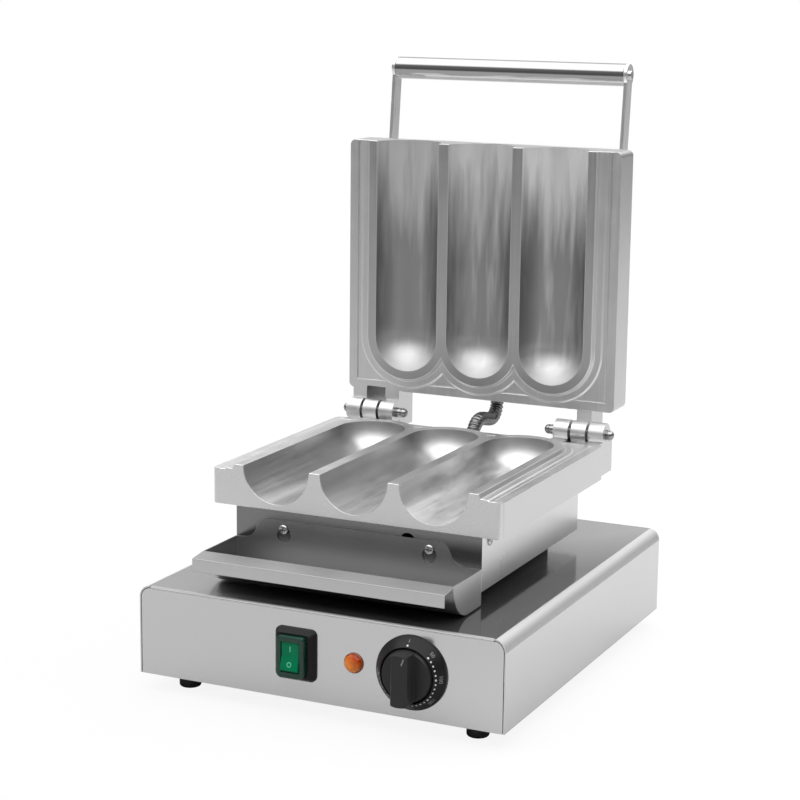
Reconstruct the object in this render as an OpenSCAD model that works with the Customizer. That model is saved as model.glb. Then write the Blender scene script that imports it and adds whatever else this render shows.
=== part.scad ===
// Bun press with two hinged cast plates over a sheet-steel base with its controls.
// X runs to the right, Y to the back, Z up. The origin is on the floor under the base's centre.
// The lid stands open at rest, a quarter turn from closed.

/* [Base casing] */
// Width of the casing, side to side
base_w = 320; // [300:1:360]
// Depth of the casing, front to back
base_d = 359; // [350:1:400]
// Height of the casing, without the feet
base_h = 74; // [70:1:100]
// Thickness of every steel sheet
sheet_t = 1.2; // [1:0.1:1.6]
// Outer bend radius along the two side edges of the top
side_bend_r = 10; // [6:0.5:14]
// Open seam between the front flap and the side walls
corner_seam = 1; // [0.6:0.1:1.4]
// Width of the inward flange under each side wall
flange_w = 44; // [40:1:50]
// Height of the rear panel's folded foot
rear_foot_w = 14; // [10:1:20]

/* [Feet] */
// Height of the casing above the floor
foot_h = 14; // [12:1:20]
// Radius of a rubber foot
foot_r = 9; // [8:0.5:11]
// Foot centre from the side of the casing
foot_inset_x = 32; // [24:1:36]
// Foot centre from the front and back of the casing
foot_inset_y = 25; // [20:1:34]
// Radius of the foot screw's shank
foot_screw_r = 2.5; // [2:0.25:3]

/* [Cast plates] */
// Width of each plate
plate_w = 258; // [256:1:272]
// Depth of each plate
plate_d = 227; // [222:1:250]
// Thickness from the meeting face to the back of the casting
plate_t = 34.8; // [34:0.2:40]
// Radius of the plate's upright corners
plate_corner_r = 5; // [2:0.5:8]
// How far the outer ledge lies below the meeting face
ledge_drop = 5; // [4:0.25:6]
// Plate centre in front of the casing's centre
plate_forward = 2; // [0:1:10]
// Half of the gap that stays between the closed plates
lip_clear = 0.25; // [0.2:0.05:0.5]

/* [Bun cavities] */
// Radius of a cavity
cavity_r = 30; // [26:0.5:30]
// Distance from cavity to cavity
cavity_pitch = 70; // [68:0.5:71]
// Cavity end to the plate's rear edge
cavity_end = 20.5; // [19:0.1:26]
// Flat lip beside a cavity
land_w = 8; // [6:0.25:9]
// Sloped side of the lip
land_slope = 2.5; // [1.5:0.25:3]
// Width of the low step beside the lip, from the cavity's edge
step_w = 15.5; // [14:0.25:16]
// Sloped side of the low step
step_slope = 1.2; // [0.8:0.1:1.5]
// Height of the low step
step_h = 1; // [0.6:0.1:1.5]
// Contour groove, from the plate's edge
groove_in = 8.4; // [7:0.1:9.5]
// Width of the contour groove
groove_w = 0.8; // [0.5:0.1:1.2]
// Depth of the contour groove
groove_depth = 0.5; // [0.3:0.1:0.8]

/* [Heater boxes] */
// Width of both heater boxes
box_w = 219.4; // [212:0.2:230]
// Depth of both heater boxes
box_d = 213; // [205:1:216]
// Height of the lower heater box
box_h = 45.7; // [42:0.1:60]
// Height of the lid's heater box
lid_box_h = 38; // [36:0.5:45]
// Front edge of a plate to the front of its box
box_inset = 6; // [4:0.5:10]
// Height of the spacer frame under the lower box
box_gap = 11.8; // [10:0.1:20]
// Width of the spacer frame
spacer_w = 190; // [170:1:200]
// Depth of the spacer frame
spacer_d = 150; // [130:1:170]
// Width of the spacer frame's rails
spacer_rail = 22; // [18:1:30]
// Radius of the wiring holes in the box floor and the casing's top
wire_hole_r = 15; // [10:1:18]
// Radius of the round vent in the lower box's front
vent_r = 6.5; // [4:0.5:8]
// Vent centre from the middle of the box
vent_x = 45.5; // [40:0.5:50]
// Vent centre above the box's floor
vent_z = 33.5; // [32:0.5:35]

/* [Heating] */
// Radius of the tubular heating rod
rod_r = 4; // [3:0.25:4.5]
// Inner legs of the rod from the middle
rod_in_x = 20; // [18:0.5:24]
// Outer legs of the rod from the middle
rod_out_x = 75; // [66:0.5:78]
// Width of a clamp strip
strip_w = 16; // [12:1:20]
// Length of a clamp strip
strip_l = 176; // [160:1:186]
// Thickness of a clamp strip
strip_t = 3; // [2:0.25:4]
// Clamp strips before and behind the middle one
strip_pitch = 55; // [45:1:60]
// Thickness of the insulation pad
pad_t = 11.5; // [8:0.5:14]
// Radius of the thermostat bulb
bulb_r = 3; // [2.5:0.25:3.5]
// Length of the thermostat bulb
bulb_l = 90; // [70:1:110]

/* [Hinge] */
// Hinge axis behind the plates' rear edges
hinge_back = 18.6; // [18:0.1:22]
// Inner face of a fork from the middle
lug_x = 78; // [70:0.5:80]
// Width of each hinge ear
ear_w = 14; // [12:0.25:14.5]
// Gap between two ears
ear_gap = 2.3; // [0.6:0.1:2.6]
// Outer radius of an ear
knuckle_r = 10.25; // [9.5:0.05:11]
// Radius of the hinge pins
pin_r = 4.5; // [3.5:0.1:5]
// Radial play of a pin in its bore
pin_play = 0.05; // [0.02:0.01:0.08]
// Length of pin past the inner ear
pin_inner_over = 11; // [8:0.5:12]
// Length of pin past the outer ear
pin_outer_over = 6.8; // [4:0.1:8]
// Fork block behind the hinge axis
root_back = 15.5; // [14:0.25:17]
// Top of the fork block below the hinge axis
root_top = 7; // [6:0.25:8]
// Gap at the open stop
stop_clear = 0.3; // [0.2:0.05:0.5]

/* [Handle] */
// Radius of the handle tube
grip_r = 9.8; // [8:0.1:12]
// Wall of the handle tube
grip_wall = 1.5; // [1:0.1:2]
// Tube axis behind the casing's centre
grip_y = 195.5; // [190:0.5:205]
// Tube axis above the plates' rear edge when open
grip_rise = 289; // [275:0.1:310]
// Thickness of the handle arms
arm_t = 3; // [2:0.25:4]
// Width of the handle arms
arm_w = 14; // [12:0.5:16]
// Length of the arms, tube axis to the lower end's centre
arm_l = 128; // [120:1:140]
// Lean of the arms, in degrees
arm_lean = 6; // [2:0.5:8]
// Radius of the screws in the handle
arm_screw_r = 2.5; // [2:0.25:3]

/* [Drip tray] */
// Thickness of the tray's sheet
tray_t = 1; // [0.8:0.1:1.2]
// Height of the trough
trough_h = 29.5; // [26:0.5:34]
// Flat bottom of the trough, back to the start of the curve
trough_flat = 24; // [18:0.5:30]
// Tray bottom above the casing's top
tray_lift = 1.25; // [1:0.25:3]
// Upstand above the trough's rim
upstand_h = 18; // [14:0.5:20]
// Half width of the upstand's straight top
upstand_half = 75; // [72:0.5:80]
// Width of each curved shoulder
shoulder_w = 24; // [20:0.5:26]
// Shift of the upstand to the left
upstand_shift = 3.5; // [0:0.5:5]
// Length of the front rim
rim_w = 17; // [12:0.5:20]
// Fall of the front rim
rim_fall = 2; // [0:0.25:4]
// Height of the rim's turned-down edge
rim_drop = 10.5; // [6:0.5:14]
// Tray screws from the middle
tray_screw_x = 65; // [55:0.5:70]
// Tray screws above the lower box's floor
tray_screw_z = 29.6; // [27:0.1:32]
// Radius of a tray screw's shank
tray_screw_r = 2; // [1.5:0.25:2.5]
// Radius of a tray screw's head
tray_head_r = 4; // [3.5:0.25:4.5]
// Radius of the wide end of a keyhole
keyhole_r = 6.2; // [5:0.1:7]
// Lift that frees the tray
keyhole_drop = 5; // [4.5:0.25:6]

/* [Controls] */
// Height of the controls' centre line on the casing
control_z = 37.4; // [34:0.1:42]
// Dial centre, in from the casing's right side
dial_in = 77; // [60:0.5:90]
// Radius of the dial plate
dial_r = 29.7; // [26:0.1:32]
// Thickness of the dial plate
dial_t = 3; // [2.6:0.1:4]
// Radius of the knob's skirt
knob_r = 21.4; // [18:0.1:24]
// Height of the knob's skirt
knob_skirt = 9; // [6:0.5:12]
// Reach of the knob's grip in front of the casing
knob_out = 25.8; // [22:0.1:30]
// Width of the knob's grip
knob_grip_w = 14; // [10:0.5:18]
// Radius of the thermostat shaft
shaft_r = 3; // [2.5:0.1:3.5]
// Lamp centre from the dial's centre
lamp_step = 49.5; // [45:0.5:55]
// Radius of the pilot lamp
lamp_r = 8.2; // [7:0.1:9]
// Reach of the pilot lamp
lamp_out = 6; // [4:0.5:8]
// Switch centre from the lamp's centre
switch_step = 50.2; // [34:0.1:60]
// Width of the switch frame at the casing
switch_w = 36; // [32:0.5:38]
// Height of the switch frame at the casing
switch_h = 42.5; // [38:0.5:44]
// Reach of the switch frame
switch_out = 6.5; // [6.5:0.25:8]
// Reach of the green collar round the rocker
collar_out = 12; // [10:0.5:13]
// Width of the rocker
rocker_w = 15.5; // [13:0.25:16]
// Length of the rocker
rocker_l = 28; // [26:0.2:28.4]
// Tilt of the rocker each way, in degrees
rocker_tilt = 8; // [6:0.5:10]

/* [Lid cable] */
// Outer radius of the ribbed conduit
conduit_r = 6.2; // [5:0.1:7]
// Bore radius of the conduit
conduit_bore = 4.4; // [3.5:0.1:5]
// Depth of the ribs
rib_depth = 0.9; // [0.5:0.1:1.2]
// Number of ribs
rib_count = 40; // [20:1:60]
// Conduit behind the casing's centre where it leaves the top
conduit_y = 122; // [120:0.5:124]
// Radius of the upper bend over the plate's edge
bend_high_r = 20; // [18:0.5:22]
// Radius of the bend up into the lid
bend_low_r = 14; // [12.5:0.5:16]
// Fall of the run between the bends, in degrees
run_fall = 12; // [6:1:16]
// Length of the run between the bends
run_l = 18; // [12:0.5:22]

/* [Mains inlet] */
// Gland centre, in from the casing's left side
gland_in = 60; // [45:1:100]
// Bore radius of the gland
gland_bore = 4.25; // [3.5:0.25:5]
// Outer radius of the gland's cap
gland_r = 11; // [10:0.5:13]

/* [Hidden] */
$fn = 64;
// Overrun of every cut past the face that it opens
over = 1;
// Gap between pieces that seat on each other
seat = 0.2;
// Radial play of a screw in its threaded hole
thread_play = 0.05;
// Radial play of a screw in a clearance hole
screw_play = 0.3;

// Levels and faces shared by the pieces
base_top = foot_h + base_h;
front_y = -base_d / 2;
back_y = base_d / 2;
box_z = base_top + box_gap;
hinge_z = box_z + box_h + plate_t;
hinge_y = plate_d / 2 - plate_forward + hinge_back;
box_front_y = -plate_d / 2 - plate_forward + box_inset;
box_mid_y = box_front_y + box_d / 2;
box_front_local = box_front_y - hinge_y;
box_mid_local = box_mid_y - hinge_y;
plate_front_local = -hinge_back - plate_d;
cavity_xs = [-cavity_pitch, 0, cavity_pitch];
cavity_local_y = -hinge_back - cavity_end - cavity_r;
single_x = lug_x + ear_w + ear_gap;
outer_x = single_x + ear_w + ear_gap;
fork_w = outer_x + ear_w - lug_x;
rib_x = cavity_pitch / 2;
relief_r = knuckle_r;
relief_y = -hinge_back + relief_r * 3 / 4;
relief_z = -ledge_drop - relief_r / 5;
control_level = foot_h + control_z;
dial_x = base_w / 2 - dial_in;
lamp_x = dial_x - lamp_step;
switch_x = switch_step - lamp_x;
gland_x = base_w / 2 - gland_in;

// Screws of the heater boxes
box_screw_in = 14.7;
box_screw_drop = 7.5;
box_screw_r = 2;
box_head_r = 3.6;
box_head_h = 1.8;
boss_w = 11;
boss_l = 16;
boss_h = 15;
clamp_screw_r = 2.5;
clamp_screw_in = 12;
clamp_head_r = 4.25;
clamp_head_h = 3;
rod_front_gap = 24;
rod_rear_gap = 42;
rod_pin_r = 1.5;
rod_pin_l = 10;
pad_gap = 1;
pad_screw_r = 8;

// Places of the four spacer bolts
bolt_r = 2.5;
bolt_x = spacer_w / 2 - spacer_rail / 2;
bolt_y = spacer_d / 2 - spacer_rail / 2;
nut_r = 4.5;
nut_h = 4;

// Parts of the feet
foot_top_r = foot_r + 0.5 * sheet_t;
foot_round = foot_r / 4;
foot_recess_r = foot_screw_r * 2.1;
foot_recess_h = foot_h * 0.5;

// Parts behind the front flap
bush_r = 5;
bush_out = 1.2;
stat_w = 36;
stat_d = 26;
stat_screw_x = 14;
stat_screw_r = 1.5;
stat_head_r = 3;
stat_head_h = 1.4;
stat_screw_l = 8;
shaft_in = 14;
shaft_end = 6;
dial_recess_r = 22;
dial_face = 0.9;
dial_hole_r = 8;
dial_dot_r = 24.5;
dial_clear = 0.4;
hub_r = 6;
grip_edge = 1.5;
lamp_stem_r = 5;
lamp_stem_l = 9;
lamp_flange = 1.5;
lamp_body_r = 6.5;
lamp_body_l = 20;
lamp_ring_r = 8.5;
lamp_ring_t = 3;
switch_face_w = 28.8;
switch_face_h = 36;
switch_corner = 5;
switch_body_w = 27;
switch_body_h = 33;
switch_body_d = 20;
window_w = 23.8;
window_h = 33.6;
window_corner = 3;
window_d = 1;
rocker_axis_out = 4;
rocker_front = 6.8;
rocker_back = 5;
rocker_heel = 7;
rocker_gap = 0.35;
rocker_pin_r = 1;
rocker_pocket_d = 7;
tab_w = 6.3;
tab_t = 0.8;
tab_l = 9;
tab_pitch = 16;

// Pieces on the floor of the casing
block_w = 60;
block_d = 22;
block_h = 18;
block_x = -45;
block_y = 105;
block_poles = 5;
block_screw_r = 2.2;
stud_x = 30;
stud_y = 120;
stud_r = 3;
stud_h = 18;
stud_nut_r = 6;
stud_nut_h = 5;
gland_cap_l = 16;
gland_hex_r = 13;
gland_hex_t = 5;
gland_thread_r = 8;
gland_nut_t = 4;

// Glands of the lid conduit
collar_r = 10;
collar_h = 5;
collar_nut_r = 9;
collar_nut_t = 4;
collar_stem_r = 7;
conduit_top_drop = 0.3;
conduit_start_z = base_top + collar_h;
lid_box_end_z = hinge_z + hinge_back + plate_d - box_inset - box_d;
conduit_end_z = lid_box_end_z - collar_h;

// The conduit's centre line in the YZ plane: up, over, down, up
turn = 90 + run_fall;
high_dy = bend_high_r * (1 + sin(run_fall));
high_dz = bend_high_r * cos(run_fall);
run_dy = run_l * cos(run_fall);
run_dz = -run_l * sin(run_fall);
low_dy = bend_low_r * (1 + sin(run_fall));
low_dz = bend_low_r * cos(run_fall);
conduit_end_y = conduit_y + high_dy + run_dy + low_dy;
rise_l = hinge_z - conduit_top_drop - bend_high_r - conduit_start_z;
last_l = conduit_end_z - conduit_start_z - rise_l - high_dz - run_dz - low_dz;
high_l = bend_high_r * turn * PI / 180;
low_l = bend_low_r * turn * PI / 180;
knots = [
    0, rise_l, rise_l + high_l, rise_l + high_l + run_l,
    rise_l + high_l + run_l + low_l, rise_l + high_l + run_l + low_l + last_l
];
conduit_l = knots[5];
conduit_sides = 10;

function heading(s) =
    s < knots[1] ? 90
    : s < knots[2] ? 90 - turn * (s - knots[1]) / high_l
    : s < knots[3] ? -run_fall
    : s < knots[4] ? -run_fall + turn * (s - knots[3]) / low_l
    : 90;

// Centre of the conduit at the length s along it, as [y, z]
function centre(s) =
    s <= knots[1] ? [conduit_y, conduit_start_z + s]
    : s <= knots[2] ? [
        conduit_y + bend_high_r * (1 - sin(heading(s))),
        conduit_start_z + rise_l + bend_high_r * cos(heading(s))
    ]
    : s <= knots[3] ? centre(knots[2]) + (s - knots[2]) * [cos(run_fall), -sin(run_fall)]
    : s <= knots[4] ? centre(knots[3]) + bend_low_r * [
        sin(heading(s)) + sin(run_fall),
        cos(run_fall) - cos(heading(s))
    ]
    : centre(knots[4]) + [0, s - knots[4]];

function conduit_ring(s, r) = let (c = centre(s), h = heading(s)) [
    for (i = [0 : conduit_sides - 1])
        let (a = 360 * i / conduit_sides)
            [r * cos(a), c[0] - r * sin(a) * sin(h), c[1] + r * sin(a) * cos(h)]
];

// A tube through rings of points; a second list of rings makes its bore
module ring_skin(outer, inner, sides) {
    n = len(outer);
    points = concat([for (r = outer) each r], [for (r = inner) each r]);
    bore = n * sides;
    function at(base, row, i) = base + row * sides + i % sides;
    walls = [
        for (row = [0 : n - 2], i = [0 : sides - 1]) each [
            [at(0, row, i), at(0, row + 1, i), at(0, row, i + 1)],
            [at(0, row, i + 1), at(0, row + 1, i), at(0, row + 1, i + 1)]
        ]
    ];
    bores = [
        for (row = [0 : n - 2], i = [0 : sides - 1]) each [
            [at(bore, row, i), at(bore, row, i + 1), at(bore, row + 1, i)],
            [at(bore, row, i + 1), at(bore, row + 1, i + 1), at(bore, row + 1, i)]
        ]
    ];
    ends = [
        for (i = [0 : sides - 1]) each [
            [at(0, 0, i), at(0, 0, i + 1), at(bore, 0, i)],
            [at(0, 0, i + 1), at(bore, 0, i + 1), at(bore, 0, i)],
            [at(0, n - 1, i), at(bore, n - 1, i), at(0, n - 1, i + 1)],
            [at(0, n - 1, i + 1), at(bore, n - 1, i), at(bore, n - 1, i + 1)]
        ]
    ];
    polyhedron(points = points, faces = concat(walls, bores, ends));
}

// A solid rod swept along points that a smooth curve joins
function curve_at(p, i, t) = let (
    a = p[max(i - 1, 0)], b = p[i], c = p[i + 1], d = p[min(i + 2, len(p) - 1)]
) 0.5 * (2 * b + (c - a) * t + (2 * a - 5 * b + 4 * c - d) * t * t
    + (3 * b - a - 3 * c + d) * t * t * t);
function smooth(p, steps) = concat(
    [for (i = [0 : len(p) - 2], k = [0 : steps - 1]) curve_at(p, i, k / steps)],
    [p[len(p) - 1]]
);
function unit(v) = v / norm(v);
sweep_reference = [0.41, 0.23, 0.88];
module rod_along(route, r, sides, steps) {
    q = smooth(route, steps);
    n = len(q);
    rings = [
        for (i = [0 : n - 1])
            let (
                t = unit(q[min(i + 1, n - 1)] - q[max(i - 1, 0)]),
                u = unit(cross(t, sweep_reference)),
                v = cross(u, t)
            ) [for (k = [0 : sides - 1]) q[i] + r * (cos(360 * k / sides) * u + sin(360 * k / sides) * v)]
    ];
    points = concat([for (g = rings) each g], [q[0]], [q[n - 1]]);
    walls = [
        for (row = [0 : n - 2], k = [0 : sides - 1])
            let (a = row * sides + k, b = row * sides + (k + 1) % sides)
                each [[a, b, a + sides], [b, b + sides, a + sides]]
    ];
    caps = [
        for (k = [0 : sides - 1]) each [
            [(k + 1) % sides, k, n * sides],
            [(n - 1) * sides + k, (n - 1) * sides + (k + 1) % sides, n * sides + 1]
        ]
    ];
    polyhedron(points = points, faces = concat(walls, caps));
}

// Shared shapes

module round_rect(w, d, r) {
    square([w - 2 * r, d], center = true);
    square([w, d - 2 * r], center = true);
    for (x = [-1, 1], y = [-1, 1])
        translate([x * (w / 2 - r), y * (d / 2 - r)]) circle(r = r);
}

// Rounded at the top corners only, standing on Y = 0
module arch_rect(w, h, r) {
    translate([-w / 2, 0]) square([w, h - r]);
    translate([r - w / 2, 0]) square([w - 2 * r, h]);
    for (x = [-1, 1]) translate([x * (w / 2 - r), h - r]) circle(r = r);
}

module along_x(r, x0, x1) {
    translate([x0, 0, 0]) rotate([0, 90, 0]) cylinder(r = r, h = x1 - x0);
}

module along_y(r, y0, y1) {
    translate([0, y0, 0]) rotate([-90, 0, 0]) cylinder(r = r, h = y1 - y0);
}

// The lower plate's frame has the hinge axis on its X axis and the meeting face at Z = 0
module in_lower() {
    translate([0, hinge_y, hinge_z]) children();
}

// The lid's pieces are the lower ones turned over, then opened by a quarter turn
module in_lid() {
    translate([0, hinge_y, hinge_z]) rotate([-90, 0, 0]) rotate([0, 180, 0]) children();
}

// Cast plate

module land_profile(w, slope, h) {
    r = cavity_r + w;
    polygon([[0, -over], [r + slope, -over], [r + slope, 0], [r, h], [0, h]]);
}

module raised_land(w, slope, h) {
    for (x = cavity_xs) translate([x, cavity_local_y, -ledge_drop]) {
        rotate_extrude() land_profile(w, slope, h);
        rotate([90, 0, 0]) linear_extrude(cavity_local_y - plate_front_local) {
            land_profile(w, slope, h);
            mirror([1, 0]) land_profile(w, slope, h);
        }
    }
}

module cavity_outline(off) {
    r = cavity_r + off;
    for (x = cavity_xs) {
        translate([x, cavity_local_y]) circle(r = r);
        translate([x - r, plate_front_local - over]) square([2 * r, cavity_local_y - plate_front_local + over]);
    }
}

// The fine line around the plate, outside the step
module plate_groove() {
    difference() {
        translate([-plate_w / 2 + groove_in, plate_front_local - over])
            square([plate_w - 2 * groove_in, plate_d - groove_in + over]);
        translate([-plate_w / 2 + groove_in + groove_w, plate_front_local - 2 * over])
            square([plate_w - 2 * (groove_in + groove_w), plate_d - groove_in - groove_w + 2 * over]);
        cavity_outline(step_w + 2 * step_slope);
    }
}

module cavities() {
    for (x = cavity_xs) translate([x, cavity_local_y, 0]) {
        sphere(r = cavity_r);
        rotate([90, 0, 0]) cylinder(r = cavity_r, h = cavity_local_y - plate_front_local + over);
    }
}

// Two ears on a block that the plate carries behind its right corner
module fork_lug() {
    translate([lug_x, -hinge_back - over, -plate_t])
        cube([fork_w, hinge_back + over + root_back, plate_t - root_top]);
    translate([lug_x, -hinge_back - over, -plate_t])
        cube([fork_w, hinge_back + over, plate_t - ledge_drop]);
    along_x(knuckle_r, lug_x, lug_x + ear_w);
    along_x(knuckle_r, outer_x, outer_x + ear_w);
}

// The room that the other plate's single ear needs in the fork
module fork_slot() {
    along_x(knuckle_r + 2 * stop_clear, lug_x + ear_w, outer_x);
    translate([0, relief_y, relief_z]) along_x(relief_r, lug_x + ear_w, outer_x);
}

// One ear, whose rear face is the open stop
module single_lug() {
    translate([-single_x - ear_w, -hinge_back - over, -plate_t])
        cube([ear_w, hinge_back + over + root_top - stop_clear, plate_t - ledge_drop - step_h]);
    along_x(knuckle_r, -single_x - ear_w, -single_x);
}

boss_x = box_w / 2 - sheet_t - seat;
boss_ys = [box_front_local + box_screw_in, box_front_local + box_d - box_screw_in];

module screw_bosses() {
    for (x = [-1, 1], y = boss_ys)
        translate([x * (boss_x - boss_w / 2), y, -plate_t - boss_h / 2 + over / 2])
            cube([boss_w, boss_l, boss_h + over], center = true);
}

strip_ys = [box_mid_local - strip_pitch, box_mid_local, box_mid_local + strip_pitch];

module cast_plate() {
    difference() {
        union() {
            translate([0, -hinge_back - plate_d / 2, -plate_t])
                linear_extrude(plate_t - ledge_drop) round_rect(plate_w, plate_d, plate_corner_r);
            raised_land(step_w, step_slope, step_h);
            raised_land(land_w, land_slope, ledge_drop - lip_clear);
            fork_lug();
            single_lug();
            screw_bosses();
        }
        cavities();
        translate([0, 0, -ledge_drop - groove_depth]) linear_extrude(groove_depth + over) plate_groove();
        fork_slot();
        along_x(pin_r + pin_play, -outer_x - ear_w, outer_x + ear_w + over);
        for (x = [-rib_x, rib_x], y = strip_ys)
            translate([x, y, -plate_t - over]) cylinder(r = clamp_screw_r + thread_play, h = clamp_screw_in + over);
        for (x = [-1, 1], y = boss_ys)
            translate([x * (boss_x - boss_w / 2), y, -plate_t - box_screw_drop]) rotate([0, 90, 0])
                cylinder(r = box_screw_r + thread_play, h = boss_w + 2 * over, center = true);
    }
}

// A pin with rounded ends, through the three ears on the right
module hinge_pin() {
    x0 = lug_x - pin_inner_over;
    x1 = outer_x + ear_w + pin_outer_over;
    dome = pin_r / 2;
    translate([x0, 0, 0]) rotate([0, 90, 0]) rotate_extrude() intersection() {
        square([pin_r, x1 - x0]);
        union() {
            translate([0, dome]) square([pin_r, x1 - x0 - 2 * dome]);
            for (y = [dome, x1 - x0 - dome]) {
                translate([pin_r - dome, y]) circle(r = dome);
                translate([0, y - dome]) square([pin_r - dome, 2 * dome]);
            }
        }
    }
}

// Heater unit in the lower plate's frame

module heater_box(h) {
    difference() {
        translate([-box_w / 2, box_front_local, -plate_t - h]) cube([box_w, box_d, h]);
        translate([sheet_t - box_w / 2, box_front_local + sheet_t, sheet_t - plate_t - h])
            cube([box_w - 2 * sheet_t, box_d - 2 * sheet_t, h]);
        for (y = boss_ys) translate([0, y, -plate_t - box_screw_drop])
            along_x(box_screw_r + screw_play, -box_w / 2 - over, box_w / 2 + over);
    }
}

module pan_head(r, h) {
    round = h / 2;
    rotate_extrude() {
        square([r, h - round]);
        square([r - round, h]);
        intersection() {
            translate([r - round, h - round]) circle(r = round);
            translate([0, 0]) square([r, h]);
        }
    }
}

module box_screws() {
    for (x = [-1, 1], y = boss_ys)
        translate([x * box_w / 2, y, -plate_t - box_screw_drop]) rotate([0, 90 * x, 0]) {
            translate([0, 0, 0]) pan_head(box_head_r, box_head_h);
            translate([0, 0, -sheet_t - boss_w / 2]) cylinder(r = box_screw_r, h = sheet_t + boss_w / 2 + box_head_h / 2);
        }
}

rod_z = -plate_t - seat - rod_r;
rod_y0 = box_front_local + rod_front_gap;
rod_y1 = box_front_local + box_d - rod_rear_gap;
rod_bend_in = rod_in_x;
rod_bend_out = (rod_out_x - rod_in_x) / 2;

module half_ring(r_mid) {
    rotate_extrude(angle = 180) translate([r_mid, 0]) circle(r = rod_r);
}

module heating_rod() {
    translate([0, 0, rod_z]) {
        for (x = [-1, 1]) {
            translate([x * rod_out_x, 0, 0]) {
                along_y(rod_r, rod_y0, rod_y1);
                along_y(rod_pin_r, rod_y0 - rod_pin_l, rod_y0 + over);
            }
            translate([x * rod_in_x, 0, 0]) along_y(rod_r, rod_y0 + rod_bend_in, rod_y1);
            translate([x * (rod_in_x + rod_out_x) / 2, rod_y1, 0]) half_ring(rod_bend_out);
        }
        translate([0, rod_y0 + rod_bend_in, 0]) rotate([0, 0, 180]) half_ring(rod_bend_in);
    }
}

strip_z = rod_z - rod_r - seat - strip_t;

module clamp_strips() {
    for (y = strip_ys) difference() {
        translate([-strip_l / 2, y - strip_w / 2, strip_z]) cube([strip_l, strip_w, strip_t]);
        for (x = [-rib_x, rib_x])
            translate([x, y, strip_z - over]) cylinder(r = clamp_screw_r + screw_play, h = strip_t + 2 * over);
    }
}

module clamp_screws() {
    for (x = [-rib_x, rib_x], y = strip_ys) translate([x, y, 0]) {
        translate([0, 0, strip_z]) rotate([180, 0, 0]) pan_head(clamp_head_r, clamp_head_h);
        translate([0, 0, strip_z - clamp_head_h / 2])
            cylinder(r = clamp_screw_r, h = clamp_screw_in - seat - plate_t - strip_z + clamp_head_h / 2);
    }
}

module insulation_pad(h) {
    difference() {
        translate([0, box_mid_local, -plate_t - h + sheet_t + pad_t / 2])
            cube([box_w - 2 * sheet_t - 2 * pad_gap, box_d - 2 * sheet_t - 2 * pad_gap, pad_t], center = true);
        translate([0, box_mid_local, -plate_t - h]) cylinder(r = wire_hole_r, h = pad_t + sheet_t + over);
    }
}

// Base

module shell_outline(inset) {
    arch_rect(base_w - 2 * inset, base_h - inset, side_bend_r - inset);
}

module base_shell() {
    bend = sheet_t + corner_seam;
    straight = base_w - 2 * side_bend_r;
    color("silver") difference() {
        union() {
            // Top and both sides, cut back where the front bend takes over
            difference() {
                translate([0, back_y, foot_h]) rotate([90, 0, 0]) linear_extrude(base_d) difference() {
                    shell_outline(0);
                    translate([0, -over]) arch_rect(base_w - 2 * sheet_t, base_h - sheet_t + over, side_bend_r - sheet_t);
                }
                translate([-straight / 2, front_y - over, base_top - bend]) cube([straight, bend + over, bend + over]);
            }
            // Front bend
            translate([0, front_y + bend, base_top - bend]) intersection() {
                difference() {
                    along_x(bend, -straight / 2, straight / 2);
                    along_x(bend - sheet_t, -straight / 2 - over, straight / 2 + over);
                }
                translate([-straight / 2, -bend, 0]) cube([straight, bend, bend]);
            }
            // Front flap with its round corners
            translate([0, front_y + sheet_t, foot_h]) rotate([90, 0, 0]) linear_extrude(sheet_t)
                arch_rect(base_w - 2 * bend, base_h - bend, side_bend_r - bend);
            // Flanges that the bottom plate and the feet fasten to
            for (x = [-1, 1])
                translate([x * (base_w / 2 - flange_w / 2), 0, foot_h + sheet_t + sheet_t / 2])
                    cube([flange_w - sheet_t / 2, base_d - 4 * bend, sheet_t], center = true);
        }
        // Foot screws
        foot_places() translate([0, 0, foot_h - over])
            cylinder(r = foot_screw_r + screw_play, h = 2 * sheet_t + 2 * over);
        // Wiring, spacer bolts and conduit through the top
        translate([0, box_mid_y, base_top - sheet_t - over]) cylinder(r = wire_hole_r, h = sheet_t + 2 * over);
        bolt_places() translate([0, 0, base_top - sheet_t - over])
            cylinder(r = bolt_r + screw_play, h = sheet_t + 2 * over);
        translate([0, conduit_y, base_top - sheet_t - over])
            cylinder(r = collar_stem_r + screw_play, h = sheet_t + 2 * over);
        // Controls through the front flap
        translate([0, 0, control_level]) {
            translate([dial_x, 0, 0]) {
                along_y(bush_r + screw_play, front_y - over, front_y + sheet_t + over);
                for (x = [-stat_screw_x, stat_screw_x]) translate([x, 0, 0])
                    along_y(stat_screw_r + screw_play, front_y - over, front_y + sheet_t + over);
            }
            translate([lamp_x, 0, 0]) along_y(lamp_stem_r + screw_play, front_y - over, front_y + sheet_t + over);
            translate([-switch_x, front_y + sheet_t / 2, 0])
                cube([switch_body_w + 2 * screw_play, sheet_t + 2 * over, switch_body_h + 2 * screw_play], center = true);
        }
    }
}

module foot_places() {
    for (x = [-1, 1], y = [-1, 1])
        translate([x * (base_w / 2 - foot_inset_x), y * (base_d / 2 - foot_inset_y), 0]) children();
}

module bolt_places() {
    for (x = [-1, 1], y = [-1, 1]) translate([x * bolt_x, box_mid_y + y * bolt_y, 0]) children();
}

module rear_panel() {
    w = base_w - 2 * sheet_t - 2 * seat;
    color("silver") difference() {
        union() {
            translate([0, back_y, foot_h]) rotate([90, 0, 0]) linear_extrude(sheet_t)
                arch_rect(w, base_h - sheet_t - seat, side_bend_r - sheet_t - seat);
            translate([flange_w - base_w / 2, back_y - rear_foot_w, foot_h + sheet_t + seat])
                cube([base_w - 2 * flange_w, rear_foot_w, sheet_t]);
        }
        translate([-gland_x, 0, control_level])
            along_y(gland_thread_r + screw_play, back_y - sheet_t - over, back_y + over);
    }
}

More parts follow.
